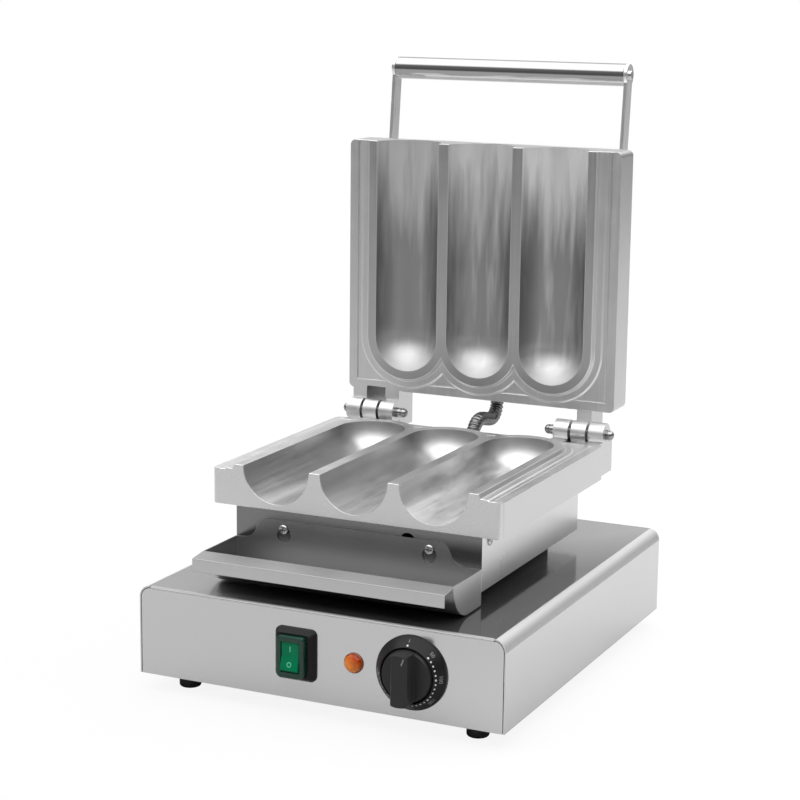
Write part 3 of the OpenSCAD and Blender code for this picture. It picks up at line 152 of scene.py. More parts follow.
class MaterialGraph(NodeGraph):
    def __init__(self, name):
        self.material = bpy.data.materials.new(name)
        self.material.use_nodes = True
        super().__init__(self.material.node_tree)
        self.shader = self.add("ShaderNodeBsdfPrincipled")
        out = self.add("ShaderNodeOutputMaterial")
        self.feed(out.inputs["Surface"], self.shader.outputs["BSDF"])
        self.place = self.add("ShaderNodeTexCoord").outputs["Object"]

    def noise(self, size, detail, rough=0.5, stretch=(1, 1, 1)):
        mapping = self.add("ShaderNodeMapping")
        self.feed(mapping.inputs["Vector"], self.place)
        self.feed(mapping.inputs["Scale"], stretch)
        node = self.add("ShaderNodeTexNoise")
        self.feed(node.inputs["Vector"], mapping.outputs["Vector"])
        self.feed(node.inputs["Scale"], size)
        self.feed(node.inputs["Detail"], detail)
        self.feed(node.inputs["Roughness"], rough)
        return node.outputs["Fac"]

    def dress(self, colour, rough, metallic, specular):
        self.feed(self.shader.inputs["Base Color"], colour)
        self.feed(self.shader.inputs["Roughness"], rough)
        self.feed(self.shader.inputs["Metallic"], metallic)
        self.feed(self.shader.inputs["Specular IOR Level"], specular)

    def bumped(self, height, microns):
        if not microns:
            return
        node = self.add("ShaderNodeBump")
        self.feed(node.inputs["Strength"], 1)
        self.feed(node.inputs["Distance"], microns * micron)
        self.feed(node.inputs["Height"], height)
        self.feed(self.shader.inputs["Normal"], node.outputs["Normal"])


def grey(level):
    return (level, level, level)


def shaded(colour, share):
    return tuple(c * (1 - share) for c in colour)


# bumps are in microns, places in metres
metalBase = {"metallic": 1.0, "specular": 0.5}
plasticBase = {"cloudSize": 60, "shade": 0.15, "roughBelow": 0.04, "roughAbove": 0.06, "specular": 0.5,
               "bump": 4}


def metal(name, given):
    look = {**metalBase, **given}
    base, patch, end, spread = look["colour"], look.get("patch"), look.get("end"), look["roughSpread"]
    graph = MaterialGraph(name)
    streak = graph.noise(1, detail=3, rough=0.6, stretch=look["streak"])
    cloud = graph.noise(look["cloudSize"], detail=4)
    tone = graph.mixedColours(graph.ranged(cloud, 0, 1), shaded(base, look["cloudShade"]), base)
    tone = graph.mixedColours(graph.ranged(streak, 0, 1), shaded(base, look["streakShade"]), tone)
    rough = graph.maths("ADD", graph.ranged(streak, look["rough"] - spread, look["rough"] + spread),
                        graph.ranged(cloud, -spread / 2, spread / 2))
    # painted light: ragged lighter patches whose strength grows along one axis and towards the right
    if patch:
        ragged = graph.noise(1, detail=3, stretch=patch["stretch"])
        reach = graph.ranged(graph.axis(graph.place, patch["axis"]), 0, 1, patch["dark"], patch["light"])
        share = graph.maths("ADD", ragged, graph.maths("MULTIPLY", reach, patch["weight"]))
        share = graph.ranged(share, 0, 1, patch["from"], patch["to"])
        across = graph.ranged(graph.axis(graph.place, "X"), patch["least"], 1, *patch["across"])
        tone = graph.mixedColours(graph.maths("MULTIPLY", share, across), tone, patch["colour"])
    # a tone that takes over along one direction; at the cavity ends it is a painted highlight, on the casing
    # top painted light and along the tube a painted dark reflection
    if end:
        share = graph.ranged(graph.dot(graph.place, end["way"]), 0, 1, end["from"], end["to"])
        tone = graph.mixedColours(share, tone, end["colour"])
        rough = graph.maths("ADD", rough, graph.maths("MULTIPLY", share, end["rough"]))
    graph.dress(tone, rough, look["metallic"], look["specular"])
    graph.bumped(streak, look["bump"])
    return graph.material


def plastic(name, given):
    look = {**plasticBase, **given}
    base, glow = look["colour"], look.get("glow")
    graph = MaterialGraph(name)
    grain = graph.noise(look["grainSize"], detail=2)
    cloud = graph.noise(look["cloudSize"], detail=3)
    share = graph.ranged(cloud, 0, 1)
    if glow:
        # painted light: the lens colour is brightest at its lower left
        away = graph.add("ShaderNodeVectorMath", operation="SUBTRACT")
        graph.feed(away.inputs[0], graph.place)
        graph.feed(away.inputs[1], glow["centre"])
        lit = graph.ranged(graph.dot(away.outputs["Vector"], glow["way"]), 0, 1, glow["from"], glow["to"])
        share = graph.maths("ADD", graph.maths("MULTIPLY", share, glow["cloud"]), glow["least"])
        share = graph.maths("MULTIPLY", share, lit)
    tone = graph.mixedColours(share, look.get("dark", shaded(base, look["shade"])), base)
    rough = graph.ranged(cloud, look["rough"] - look["roughBelow"], look["rough"] + look["roughAbove"])
    graph.dress(tone, rough, 0, look["specular"])
    graph.bumped(grain, look["bump"])
    return graph.material


def castLook(level, streak, rough, bump=4, shade=0.10, **more):
    return dict(more, colour=grey(level), streak=streak, streakShade=shade, cloudSize=60,
                cloudShade=shade * 0.8, rough=rough, roughSpread=shade / 2, bump=bump)


# shared grain of each kind of sheet or bar
drawn = {"streak": (30, 400, 400), "streakShade": 0.02, "cloudSize": 60, "cloudShade": 0.03,
         "roughSpread": 0.02, "bump": 1}
rolled = {"streak": (5, 500, 500), "streakShade": 0.015, "cloudSize": 9, "cloudShade": 0.02,
          "roughSpread": 0.02, "bump": 0}
pressed = {"streak": (5, 600, 600), "streakShade": 0.04, "cloudSize": 25, "cloudShade": 0.05,
           "roughSpread": 0.03, "bump": 1}
brushed = {"streakShade": 0.03, "cloudSize": 20, "cloudShade": 0.04, "bump": 0}
coarse = {"streak": (200, 200, 200), "streakShade": 0.1, "bump": 10}
fine = {"streak": (300, 300, 300), "streakShade": 0.1, "roughSpread": 0.05, "bump": 10}
alongLower, alongUpper = (420, 10, 420), (420, 420, 10)
lyingGrain, standingGrain = (25, 25, 60), (25, 60, 25)

# painted light patches in the cavities, strongest towards the front of the lower plate, the top of the lid
# and the right; and ends where a surface's tone changes
lowerLitPatch = {"axis": "Y", "dark": 0.06, "light": -0.12, "stretch": (110, 14, 50), "colour": grey(0.88),
              "weight": 0.5, "from": 0.46, "to": 0.86, "least": 0.2, "across": (-0.04, 0.05)}
upperLitPatch = {"axis": "Z", "dark": 0.32, "light": 0.43, "stretch": (120, 50, 9), "colour": grey(1.0),
              "weight": 0.5, "from": 0.52, "to": 0.90, "least": 0.2, "across": (-0.25, 0.05)}
# painted highlights on the rounded ends of the cavities
lowerEndHighlight = {"way": (0, 1, 0), "from": 0.055, "to": 0.085, "colour": grey(0.60), "rough": 0.08}
upperEndHighlight = {"way": (0, 0, 1), "from": 0.254, "to": 0.222, "colour": grey(0.80), "rough": 0.22}
upperLow = {"way": (0, 0, 1), "from": 0.236, "to": 0.206, "colour": grey(0.41), "rough": 0}
# painted light: the casing top is lighter towards the left and the back
topPaintedLight = {"way": (-0.8, 0.6, 0), "from": -0.10, "to": -0.015, "colour": grey(0.56), "rough": 0.06}
tubeLow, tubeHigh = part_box("handle_tube")
tubeWay = Vector((0, 0.2, 0.98))
tubeLevel = ((tubeLow + tubeHigh) / 2).dot(tubeWay)
# painted dark reflection along the top of the polished handle tube
tubeTopReflection = {"way": tubeWay, "from": tubeLevel + 0.0072, "to": tubeLevel + 0.0090, "colour": grey(0.13),
           "rough": 0}
# painted light inside the pilot lens, brightest at its lower left
lensPaintedLight = {"centre": (0.0335, -0.185, 0.0514), "way": (-0.62, 0, -0.78), "from": -0.006, "to": 0.007,
            "cloud": 0.5, "least": 0.6}
metalLooks = {
    "tubeSteel": dict(drawn, colour=grey(0.42), rough=0.13, roughSpread=0.01, bump=0, end=tubeTopReflection),
    "casingSteel": dict(rolled, colour=grey(0.66), rough=0.15, bump=1.5, metallic=0.93),
    # one casing steel with a painted shade for each facing: the top, sides, bends and front edge are darker
    # than the front
    "casingTopShaded": dict(rolled, colour=grey(0.26), rough=0.11, metallic=0.88, end=topPaintedLight),
    "casingSideShaded": dict(rolled, colour=grey(0.55), rough=0.60),
    "casingBendShaded": dict(rolled, colour=grey(0.34), rough=0.60),
    "casingEdgeShaded": dict(rolled, colour=grey(0.60), rough=0.60),
    "boxSteel": dict(brushed, colour=grey(0.71), streak=(90, 90, 4), rough=0.28, roughSpread=0.006),
    # copies of the tray steel: the rim's top, the inside and the underside carry painted shade
    "trayRimShaded": dict(pressed, colour=grey(0.29), rough=0.42, cloudShade=0.08),
    "traySteel": dict(pressed, colour=grey(0.62), rough=0.32),
    "trayInsideShaded": dict(pressed, colour=grey(0.34), rough=0.42, roughSpread=0.04, streakShade=0.08,
                       cloudSize=30, cloudShade=0.12),
    "lowerBore": castLook(0.40, alongLower, 0.34, patch=lowerLitPatch, end=lowerEndHighlight),
    "upperBore": castLook(0.45, alongUpper, 0.42, patch=upperLitPatch, end=upperEndHighlight),
    "lowerRib": castLook(0.66, alongLower, 0.36),
    "upperRib": castLook(0.57, alongUpper, 0.36, end=upperLow),
    "lowerLedge": castLook(0.72, alongLower, 0.36),
    "upperLedge": castLook(0.76, alongUpper, 0.38),
    "lowerOuter": castLook(0.64, lyingGrain, 0.30, 0, 0.04),
    # painted light: the lower plate's front faces are lighter than its other outer faces
    "lowerFrontLit": castLook(0.76, lyingGrain, 0.28, 0, 0.03),
    "upperOuter": castLook(0.60, standingGrain, 0.34, 0, 0.04),
    # painted highlight on the plates' bevelled edges
    "edgeHighlight": castLook(0.80, (90, 90, 90), 0.34, 1, 0.04),
    "turnedEar": castLook(0.68, (400, 30, 30), 0.44, 0, 0.08),
    # painted light: the walls of the hinge ear slots are lightened
    "earSlotLit": castLook(0.74, standingGrain, 0.60, 0, 0.06),
    # painted shade: the heater box's front face is a darker copy of its steel
    "boxFrontShaded": dict(brushed, colour=grey(0.24), streak=(3, 3, 900), rough=0.20, roughSpread=0.02),
    "polished": dict(drawn, colour=(0.78, 0.78, 0.79), rough=0.10),
    "pinSteel": dict(drawn, colour=grey(0.34), rough=0.16, roughSpread=0.03, streakShade=0.03,
                     cloudShade=0.05),
    "armSteel": {"colour": grey(0.96), "streak": (500, 500, 12), "streakShade": 0.05, "cloudSize": 30,
                 "cloudShade": 0.05, "rough": 0.32, "roughSpread": 0.04, "bump": 4},
    "zinc": dict(fine, colour=(0.60, 0.60, 0.59), streakShade=0.08, cloudSize=300, cloudShade=0.10,
                 rough=0.26),
    "conduitMetal": dict(fine, colour=(0.22, 0.22, 0.225), cloudSize=120, cloudShade=0.15, rough=0.22),
    "rodMetal": dict(coarse, colour=(0.22, 0.22, 0.23), streakShade=0.15, cloudSize=60, cloudShade=0.25,
                     rough=0.55, roughSpread=0.08, bump=20),
    "copperMetal": dict(coarse, colour=(0.72, 0.36, 0.22), cloudSize=80, cloudShade=0.2, rough=0.3,
                        roughSpread=0.06),
    "brassMetal": dict(fine, colour=(0.76, 0.58, 0.27), cloudSize=90, cloudShade=0.12, rough=0.28),
    # black paint on the spacer frame stands in for the shade in the gap under the heater box
    "gapShadeBlack": dict(fine, colour=grey(0.034), cloudSize=80, cloudShade=0.3, rough=0.5, roughSpread=0.08,
                       bump=20, metallic=0.0, specular=0.12),
}
plasticLooks = {
    "blackRubber": {"colour": (0.012, 0.012, 0.013), "grainSize": 1500, "rough": 0.62, "bump": 30},
    "blackPlastic": {"colour": (0.010, 0.010, 0.011), "grainSize": 1800, "rough": 0.42, "bump": 10,
                     "specular": 0.22},
    "dialPlastic": {"colour": grey(0.008), "grainSize": 1500, "rough": 0.36, "specular": 0.22},
    "knobPlastic": {"colour": grey(0.020), "grainSize": 1800, "rough": 0.42, "specular": 0.3},
    "greenPlastic": {"colour": (0.0005, 0.155, 0.065), "grainSize": 1200, "rough": 0.25, "specular": 0.12},
    "darkGreenPlastic": {"colour": (0.003, 0.036, 0.021), "grainSize": 1200, "rough": 0.22},
    "orangeLens": {"colour": (1.0, 0.34, 0.05), "dark": (0.34, 0.036, 0.003), "cloudSize": 190,
                   "grainSize": 900, "rough": 0.16, "specular": 0.3, "glow": lensPaintedLight},
    "amberEdge": {"colour": (0.22, 0.045, 0.010), "grainSize": 900, "rough": 0.2},
    "palePlastic": {"colour": (0.74, 0.72, 0.66), "grainSize": 1200, "rough": 0.45, "bump": 10},
    "printWhite": {"colour": grey(0.64), "grainSize": 1500, "rough": 0.5},
    "printGrey": {"colour": grey(0.22), "grainSize": 1500, "rough": 0.5},
    "printMint": {"colour": (0.10, 0.46, 0.25), "grainSize": 1500, "rough": 0.4},
    "wool": {"colour": (0.72, 0.70, 0.62), "grainSize": 500, "rough": 0.9, "bump": 400},
    "wireSleeve": {"colour": (0.26, 0.08, 0.04), "grainSize": 900, "rough": 0.5, "bump": 10},
    # painted shade: near black for the screws' cross recesses
    "recessShade": {"colour": (0.010, 0.010, 0.011), "grainSize": 400, "rough": 0.8, "bump": 10},
}
looks = {name: metal(name, look) for name, look in metalLooks.items()}
looks.update({name: plastic(name, look) for name, look in plasticLooks.items()})
print("stage: materials")

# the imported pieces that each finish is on
finishedNodes = {
    "casingSteel": ("base_shell", "rear_panel"),
    "boxSteel": ("bottom_plate", "lower_housing", "lower_clamp_strips", "upper_housing",
                 "upper_clamp_strips"),
    "traySteel": ("drip_tray",),
    "lowerOuter": ("lower_plate",),
    "upperOuter": ("upper_plate",),
    "armSteel": ("handle_arms",),
    "tubeSteel": ("handle_tube",),
    "polished": ("hinge_pin_left", "hinge_pin_right"),
    "conduitMetal": ("lid_conduit",),
    "zinc": ("foot_screws", "spacer_bolts", "lower_housing_screws", "lower_clamp_screws", "tray_screws",
             "thermostat_screws", "switch_pin", "conduit_gland_base", "upper_housing_screws",
             "upper_clamp_screws", "arm_screws", "grip_plugs", "grip_screws", "conduit_gland_lid",
             "thermostat_shaft"),
    "rodMetal": ("lower_element", "upper_element"),
    "copperMetal": ("thermostat_bulb", "capillary_tube"),
    "brassMetal": ("switch_terminals", "terminal_screws", "earth_stud"),
    # the spacer frame's black is painted shade for the gap under the heater box
    "gapShadeBlack": ("spacer_frame",),
    "wool": ("lower_insulation", "upper_insulation"),
    "palePlastic": ("thermostat_body", "pilot_holder", "terminal_block"),
    "blackPlastic": ("switch_housing", "mains_gland", "gland_nut", "thermostat_knob"),
    "blackRubber": ("rubber_feet",),
    "dialPlastic": ("dial_plate",),
    "orangeLens": ("pilot_lens",),
    "darkGreenPlastic": ("switch_window",),
    "greenPlastic": ("switch_rocker",),
    "wireSleeve": ("base_wiring", "lid_wiring"),
}
for finish, names in finishedNodes.items():
    for name in names:
        nodes[name].data.materials.clear()
        nodes[name].data.materials.append(looks[finish])
print("stage: finishes on the packed pieces")

# shared shape work, with sizes in millimetres
towardsFront = Matrix.Rotation(math.radians(90), 4, "X")
towardsRight = Matrix.Rotation(math.radians(90), 4, "Y")
towardsLeft = Matrix.Rotation(math.radians(-90), 4, "Y")
merge = {"taken": 0.002, "turned": 0.0005, "flatAngle": 0.4}


def moved(x, y, z):
    return Matrix.Translation(Vector((x, y, z)) * mm)


def takeShape(name):
    shape = bmesh.new()
    shape.from_mesh(nodes[name].data)
    shape.transform(nodes[name].matrix_world)
    bmesh.ops.remove_doubles(shape, verts=shape.verts, dist=merge["taken"] * mm)
    bmesh.ops.dissolve_limit(shape, angle_limit=math.radians(merge["flatAngle"]), verts=shape.verts,
                             edges=shape.edges)
    return shape


def soften(shape, width, angle=35, segments=2, finish=-1):
    edges = [e for e in shape.edges if e.is_manifold and e.calc_face_angle(0) > math.radians(angle)]
    bmesh.ops.bevel(shape, geom=edges, offset=width * mm, offset_type="OFFSET", segments=segments,
                    profile=0.5, affect="EDGES", clamp_overlap=False, material=finish)


def finishPiece(shape, name, finishes, body, replaced=(), kindOf=None, sharp=32):
    bmesh.ops.recalc_face_normals(shape, faces=shape.faces)
    if kindOf:
        for face in shape.faces:
            face.material_index = finishes.index(kindOf(face))
    mesh = bpy.data.meshes.new(name)
    shape.to_mesh(mesh)
    shape.free()
    for finish in finishes:
        mesh.materials.append(looks[finish])
    for polygon in mesh.polygons:
        polygon.use_smooth = True
    mesh.set_sharp_from_angle(angle=math.radians(sharp))
    piece = bpy.data.objects.new(name, mesh)
    bpy.context.scene.collection.objects.link(piece)
    even = piece.modifiers.new("evenNormals", "WEIGHTED_NORMAL")
    even.keep_sharp = True
    if body:
        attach(piece, body)
    if replaced:
        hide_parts(*replaced)
    return piece


def revolved(profile, steps, place=(0, 0, 0), turn=Matrix.Identity(4)):
    shape = bmesh.new()
    points = [shape.verts.new((r * mm, 0, h * mm)) for r, h in profile]
    edges = [shape.edges.new(pair) for pair in zip(points, points[1:])]
    bmesh.ops.spin(shape, geom=points + edges, cent=(0, 0, 0), axis=(0, 0, 1), angle=2 * math.pi,
                   steps=steps, use_merge=True)
    bmesh.ops.remove_doubles(shape, verts=shape.verts, dist=merge["turned"] * mm)
    bmesh.ops.recalc_face_normals(shape, faces=shape.faces)
    shape.transform(moved(*place) @ turn)
    return shape


def block(width, depth, height):
    shape = bmesh.new()
    bmesh.ops.create_cube(shape, size=1, matrix=Matrix.Diagonal((width * mm, depth * mm, height * mm, 1)))
    return shape


def joined(shapes):
    whole = bmesh.new()
    for shape in shapes:
        mesh = bpy.data.meshes.new("part")
        shape.to_mesh(mesh)
        shape.free()
        whole.from_mesh(mesh)
        bpy.data.meshes.remove(mesh)
    return whole


def arc(centre, radius, first, last, steps):
    angles = [math.radians(first + (last - first) * i / steps) for i in range(steps + 1)]
    return [(centre[0] + radius * math.cos(a), centre[1] + radius * math.sin(a)) for a in angles]


def barOf(node):
    low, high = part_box(node)
    start = (low.x / mm, (low.y + high.y) / 2 / mm, (low.z + high.z) / 2 / mm)
    return start, (high.x - low.x) / mm


# cast plates, with the finish that each kind of face has
castPlate = {
    "softEdge": 0.45,
    "softAngle": 33,
    "hinge": (0, 130.1, 180.3),
    "cavityEndY": -69.1,
    "cavityR": 30,
    "cavitySlack": 0.7,
    "cavityTop": -0.2,
    "cavityFacing": -0.2,
    "pitch": 70,
    "halfW": 105,
    "earR": 10.8,
    "slotR": 24,
    "slotX": 70,
    "roundFacing": 0.5,
    "ribTop": -1.2,
    "ribFacing": 0.75,
    "ledgeTop": -6,
    "ledgeFacing": 0.2,
    "frontFacing": -0.7,
}


def plateFrame(look, upper):
    if not upper:
        return moved(*look["hinge"])
    y, z = look["hinge"][1] * mm, look["hinge"][2] * mm
    return Matrix(((-1, 0, 0, 0), (0, 0, -1, y), (0, -1, 0, z), (0, 0, 0, 1)))


def makePlate(look, name, side, body):
    upper = side == "upper"
    back = plateFrame(look, upper).inverted()
    turn = back.to_3x3()
    finishes = (side + "Outer", side + "Bore", side + "Rib", side + "Ledge",
                "lowerFrontLit", "edgeHighlight", "turnedEar", "earSlotLit")
    softened = finishes.index("edgeHighlight")

    def inCavity(p, n):
        if abs(p.x) >= look["halfW"] or p.z >= look["cavityTop"] or n.z <= look["cavityFacing"]:
            return False
        x = min(abs(p.x - c) for c in (-look["pitch"], 0, look["pitch"]))
        y = max(0, p.y - look["cavityEndY"])
        return abs(math.sqrt(x * x + y * y + p.z * p.z) - look["cavityR"]) < look["cavitySlack"]

    def faceKind(face):
        p = back @ face.calc_center_median() / mm
        n = turn @ face.normal
        fromHinge = math.hypot(p.y, p.z)
        if abs(n.x) < look["roundFacing"] and fromHinge < look["earR"]:
            return "turnedEar"
        # the slot walls get a painted-light copy of the cast metal
        if abs(n.x) < look["roundFacing"] and fromHinge < look["slotR"] and abs(p.x) > look["slotX"]:
            return "earSlotLit"
        # bevelled edges get a painted highlight
        if face.material_index == softened:
            return "edgeHighlight"
        if inCavity(p, n):
            return side + "Bore"
        if n.z > look["ribFacing"] and p.z > look["ribTop"]:
            return side + "Rib"
        if n.z > look["ledgeFacing"] and p.z > look["ledgeTop"]:
            return side + "Ledge"
        # the lower plate's front faces get a painted-light copy
        return "lowerFrontLit" if face.normal.y < look["frontFacing"] and not upper else side + "Outer"

    node = side + "_plate"
    shape = takeShape(node)
    soften(shape, look["softEdge"], look["softAngle"], finish=softened)
    finishPiece(shape, name, finishes, body, (node,), faceKind)


makePlate(castPlate, "lowerCastPlate", "lower", "base")
makePlate(castPlate, "upperCastPlate", "upper", "lid")
print("stage: cast plates")

# sheet and bar pieces, with their edges eased
easedPieces = {
    "casingShell": {"node": "base_shell", "body": "base", "edge": 0.15, "slot": "stainless_casing",
                    "finishes": ("casingSteel", "casingBendShaded", "casingTopShaded", "casingSideShaded", "casingEdgeShaded")},
    "casingRearPanel": {"node": "rear_panel", "body": "base", "edge": 0.3, "slot": "stainless_panel",
                        "finishes": ("casingSteel",)},
    "heaterBoxLower": {"node": "lower_housing", "body": "base", "edge": 0.3, "slot": "heater_box_sheet",
                       "finishes": ("boxSteel", "boxFrontShaded")},
    "heaterBoxUpper": {"node": "upper_housing", "body": "lid", "edge": 0.3, "slot": "heater_box_sheet",
                       "finishes": ("boxSteel",)},
    "dripTray": {"node": "drip_tray", "body": "tray", "edge": 0.22, "slot": "tray_sheet",
                 "finishes": ("traySteel", "trayInsideShaded", "trayRimShaded")},
    "spacerFrame": {"node": "spacer_frame", "body": "base", "edge": 0.4, "slot": "black_spacer",
                    "finishes": ("gapShadeBlack",)},
    "handleArms": {"node": "handle_arms", "body": "lid", "edge": 0.3, "slot": "polished_tube",
                   "finishes": ("armSteel",)},
    "switchFrame": {"node": "switch_housing", "body": "base", "edge": 0.5, "slot": "black_plastic",
                    "finishes": ("blackPlastic",)},
    "switchGreenRing": {"node": "switch_window", "body": "base", "edge": 0.9, "slot": "dark_green_plastic",
                        "finishes": ("darkGreenPlastic",)},
    "thermostatKnob": {"node": "thermostat_knob", "body": "knob", "edge": 0.5, "slot": "black_plastic",
                       "finishes": ("knobPlastic",)},
    "mainsGland": {"node": "mains_gland", "body": "base", "edge": 0.3, "slot": "black_plastic",
                   "finishes": ("blackPlastic",)},
}
casing = {
    "frontY": -179.5,
    "sheet": 1.2,
    "halfW": 160,
    "top": 88,
    "cornerR": 10,
    "seam": 1.0,
    "seamShown": 0.55,
    "seamLow": 13.9,
    "flapDepth": 1.3,
    "near": 0.05,
    "topFacing": 0.98,
    "sideFacing": 0.06,
    "frontFacing": -0.08,
    "frontRise": 0.02,
    "bendFacing": 0.6,
}
heaterBox = {"frontFacing": -0.7}
tray = {"rimY": -164.2, "rimFacing": 0.5, "underFacing": -0.15, "middle": (0, -138, 125)}
# lips at the top and bottom of the green collar, close to the rocker
collar = {"x": -16.7, "z": 51.4, "width": 16.6, "out": 11.75, "depth": 0.7, "from": 12.4, "to": 14.8}


def closeSeam(shape, look):
    # the front flap's edge is brought closer to the side walls
    gap = look["sheet"] + look["seam"]
    grow = (look["seam"] - look["seamShown"]) * mm
    half, level, r = look["halfW"] - gap, look["top"] - look["cornerR"], look["cornerR"] - gap
    for vert in shape.verts:
        x, y, z = vert.co / mm
        if y > look["frontY"] + look["flapDepth"] or z < look["seamLow"]:
            continue
        side = 1 if x > 0 else -1
        dx, dz = abs(x) - (look["halfW"] - look["cornerR"]), z - level
        if z <= level and abs(abs(x) - half) < look["near"]:
            vert.co.x += side * grow
        elif dx > look["near"] and dz > 0 and abs(math.hypot(dx, dz) - r) < look["near"]:
            vert.co.x += side * grow * dx / r
            vert.co.z += grow * dz / r


# the top, sides, bends and front edge get painted-shade copies of the casing steel
def casingKind(face):
    x, y, z = face.normal
    if z > casing["topFacing"]:
        return "casingTopShaded"
    if z > casing["sideFacing"] and abs(x) > casing["sideFacing"]:
        return "casingSideShaded"
    if y > casing["frontFacing"] or z < casing["frontRise"]:
        return "casingSteel"
    return "casingBendShaded" if z > casing["bendFacing"] else "casingEdgeShaded"


# front faces get a painted-shade copy of the box steel
def boxKind(face):
    return "boxFrontShaded" if face.normal.y < heaterBox["frontFacing"] else "boxSteel"


# the inside, the underside and the rim's top get painted-shade copies of the tray steel
def trayKind(face):
    middle = face.calc_center_median() / mm
    if face.normal.z < tray["underFacing"]:
        return "trayInsideShaded"
    if middle.y < tray["rimY"]:
        return "trayRimShaded" if face.normal.z > tray["rimFacing"] else "traySteel"
    inward = Vector(tray["middle"]) - middle
    return "trayInsideShaded" if inward.dot(face.normal) > 0 else "traySteel"


def collarLips(look):
    lips = []
    y = casing["frontY"] - look["out"] + look["depth"] / 2
    for side in (-1, 1):
        lip = block(look["width"], look["depth"], look["to"] - look["from"])
        lip.transform(moved(look["x"], y, look["z"] + side * (look["from"] + look["to"]) / 2))
        lips.append(lip)
    return lips


kindsOf = {"casingShell": casingKind, "heaterBoxLower": boxKind, "dripTray": trayKind}
for name, look in easedPieces.items():
    shape = takeShape(look["node"])
    if name == "casingShell":
        closeSeam(shape, casing)
    soften(shape, look["edge"])
    if name == "switchGreenRing":
        shape = joined([shape] + collarLips(collar))
    finishPiece(shape, name, look["finishes"], look["body"], (look["node"],), kindsOf.get(name))
print("stage: sheet and bar pieces")

# handle tube
tube = {"steps": 96, "radius": 9.8, "wall": 1.5, "lip": 0.5}


def makeTube(look):
    start, span = barOf("handle_tube")
    r, inner, lip = look["radius"], look["radius"] - look["wall"], look["lip"]
    profile = ([(inner, 0)] + arc((r - lip, lip), lip, -90, 0, 4) + arc((r - lip, span - lip), lip, 0, 90, 4)
               + [(inner, span), (inner, 0)])
    shape = revolved(profile, look["steps"], start, towardsRight)
    finishPiece(shape, "handleTube", ("tubeSteel",), "lid", ("handle_tube",))


makeTube(tube)
print("stage: handle tube")

# hinge pins with a groove behind each round end
hingePin = {"radius": 4.4, "neck": 3.9, "neckW": 0.7, "slope": 0.6, "shoulder": 0.3, "dome": 4.2, "steps": 48}


def makePin(look, name, node, body):
    start, span = barOf(node)
    r, neck, dome, slope = look["radius"], look["neck"], look["dome"], look["slope"]
    near = dome + look["shoulder"]
    far = near + slope + look["neckW"]
    half = [(0, 0)] + arc((r - dome, dome), dome, -85, 0, 6)
    half += [(r, near), (neck, near + slope), (neck, far), (r, far + look["shoulder"])]
    profile = half + [(radius, span - h) for radius, h in reversed(half)]
    shape = revolved(profile, look["steps"], start, towardsRight)
    finishPiece(shape, name, ("pinSteel",), body, (node,))


makePin(hingePin, "hingePinRight", "hinge_pin_right", "base")
makePin(hingePin, "hingePinLeft", "hinge_pin_left", "lid")
print("stage: hinge pins")

# ribbed conduit between base and lid
conduit = {
    "radius": 6.2,
    "ribDepth": 1.0,
    "ribs": 40,
    "crest": 0.7,
    "startY": 122,
    "startZ": 93,
    "endZ": 201.9,
    "highR": 20,
    "lowR": 14,
    "fall": 12,
    "run": 18,
    "rise": 67.0,
    "sides": 28,
    "perRib": 6,
    "sharp": 60,
}


def makeConduit(look):
    fall = math.radians(look["fall"])
    turn = math.radians(90 + look["fall"])
    highDz, lowDz = look["highR"] * math.cos(fall), look["lowR"] * math.cos(fall)
    last = look["endZ"] - look["startZ"] - look["rise"] - highDz + look["run"] * math.sin(fall) - lowDz
    # each span's length and the radius of its bend, negative where it turns to the back and down
    spans = ((look["rise"], 0), (look["highR"] * turn, -look["highR"]), (look["run"], 0),
             (look["lowR"] * turn, look["lowR"]), (last, 0))
    whole = sum(span for span, bend in spans)

    def centre(s):
        y, z, heading = look["startY"], look["startZ"], math.radians(90)
        for span, bend in spans:
            part = min(s, span)
            if bend:
                after = heading + part / bend
                y += bend * (math.sin(after) - math.sin(heading))
                z -= bend * (math.cos(after) - math.cos(heading))
                heading = after
            else:
                y, z = y + part * math.cos(heading), z + part * math.sin(heading)
            s -= part
            if s <= 0:
                break
        return y, z, heading

    plain = 2 * look["radius"]
    ribbed = whole - 2 * plain
    count = look["ribs"] * look["perRib"]
    marks = [0, plain / 2] + [plain + ribbed * i / count for i in range(count + 1)]
    marks += [whole - plain / 2, whole]
    angles = [2 * math.pi * k / look["sides"] for k in range(look["sides"])]
    shape = bmesh.new()
    rows = []
    for s in marks:
        y, z, heading = centre(s)
        wave = 0
        if plain < s < whole - plain:
            ribAngle = 2 * math.pi * (s - plain) / ribbed * look["ribs"]
            wave = (0.5 - 0.5 * math.cos(ribAngle)) ** look["crest"]
        r = look["radius"] - look["ribDepth"] * (1 - wave)
        up, over = math.sin(heading), math.cos(heading)
        rows.append([shape.verts.new(Vector((r * math.cos(a), y - r * math.sin(a) * up,
                                             z + r * math.sin(a) * over)) * mm) for a in angles])
    for a, b in zip(rows, rows[1:]):
        for i in range(look["sides"]):
            j = (i + 1) % look["sides"]
            shape.faces.new((a[i], a[j], b[j], b[i]))
    shape.faces.new(rows[0])
    shape.faces.new(rows[-1])
    piece = finishPiece(shape, "lidConduit", ("conduitMetal",), None, ("lid_conduit",),
                        sharp=look["sharp"])
    end = (0, centre(whole)[0] * mm, look["endZ"] * mm)
    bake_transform(piece)


makeConduit(conduit)
print("stage: conduit")

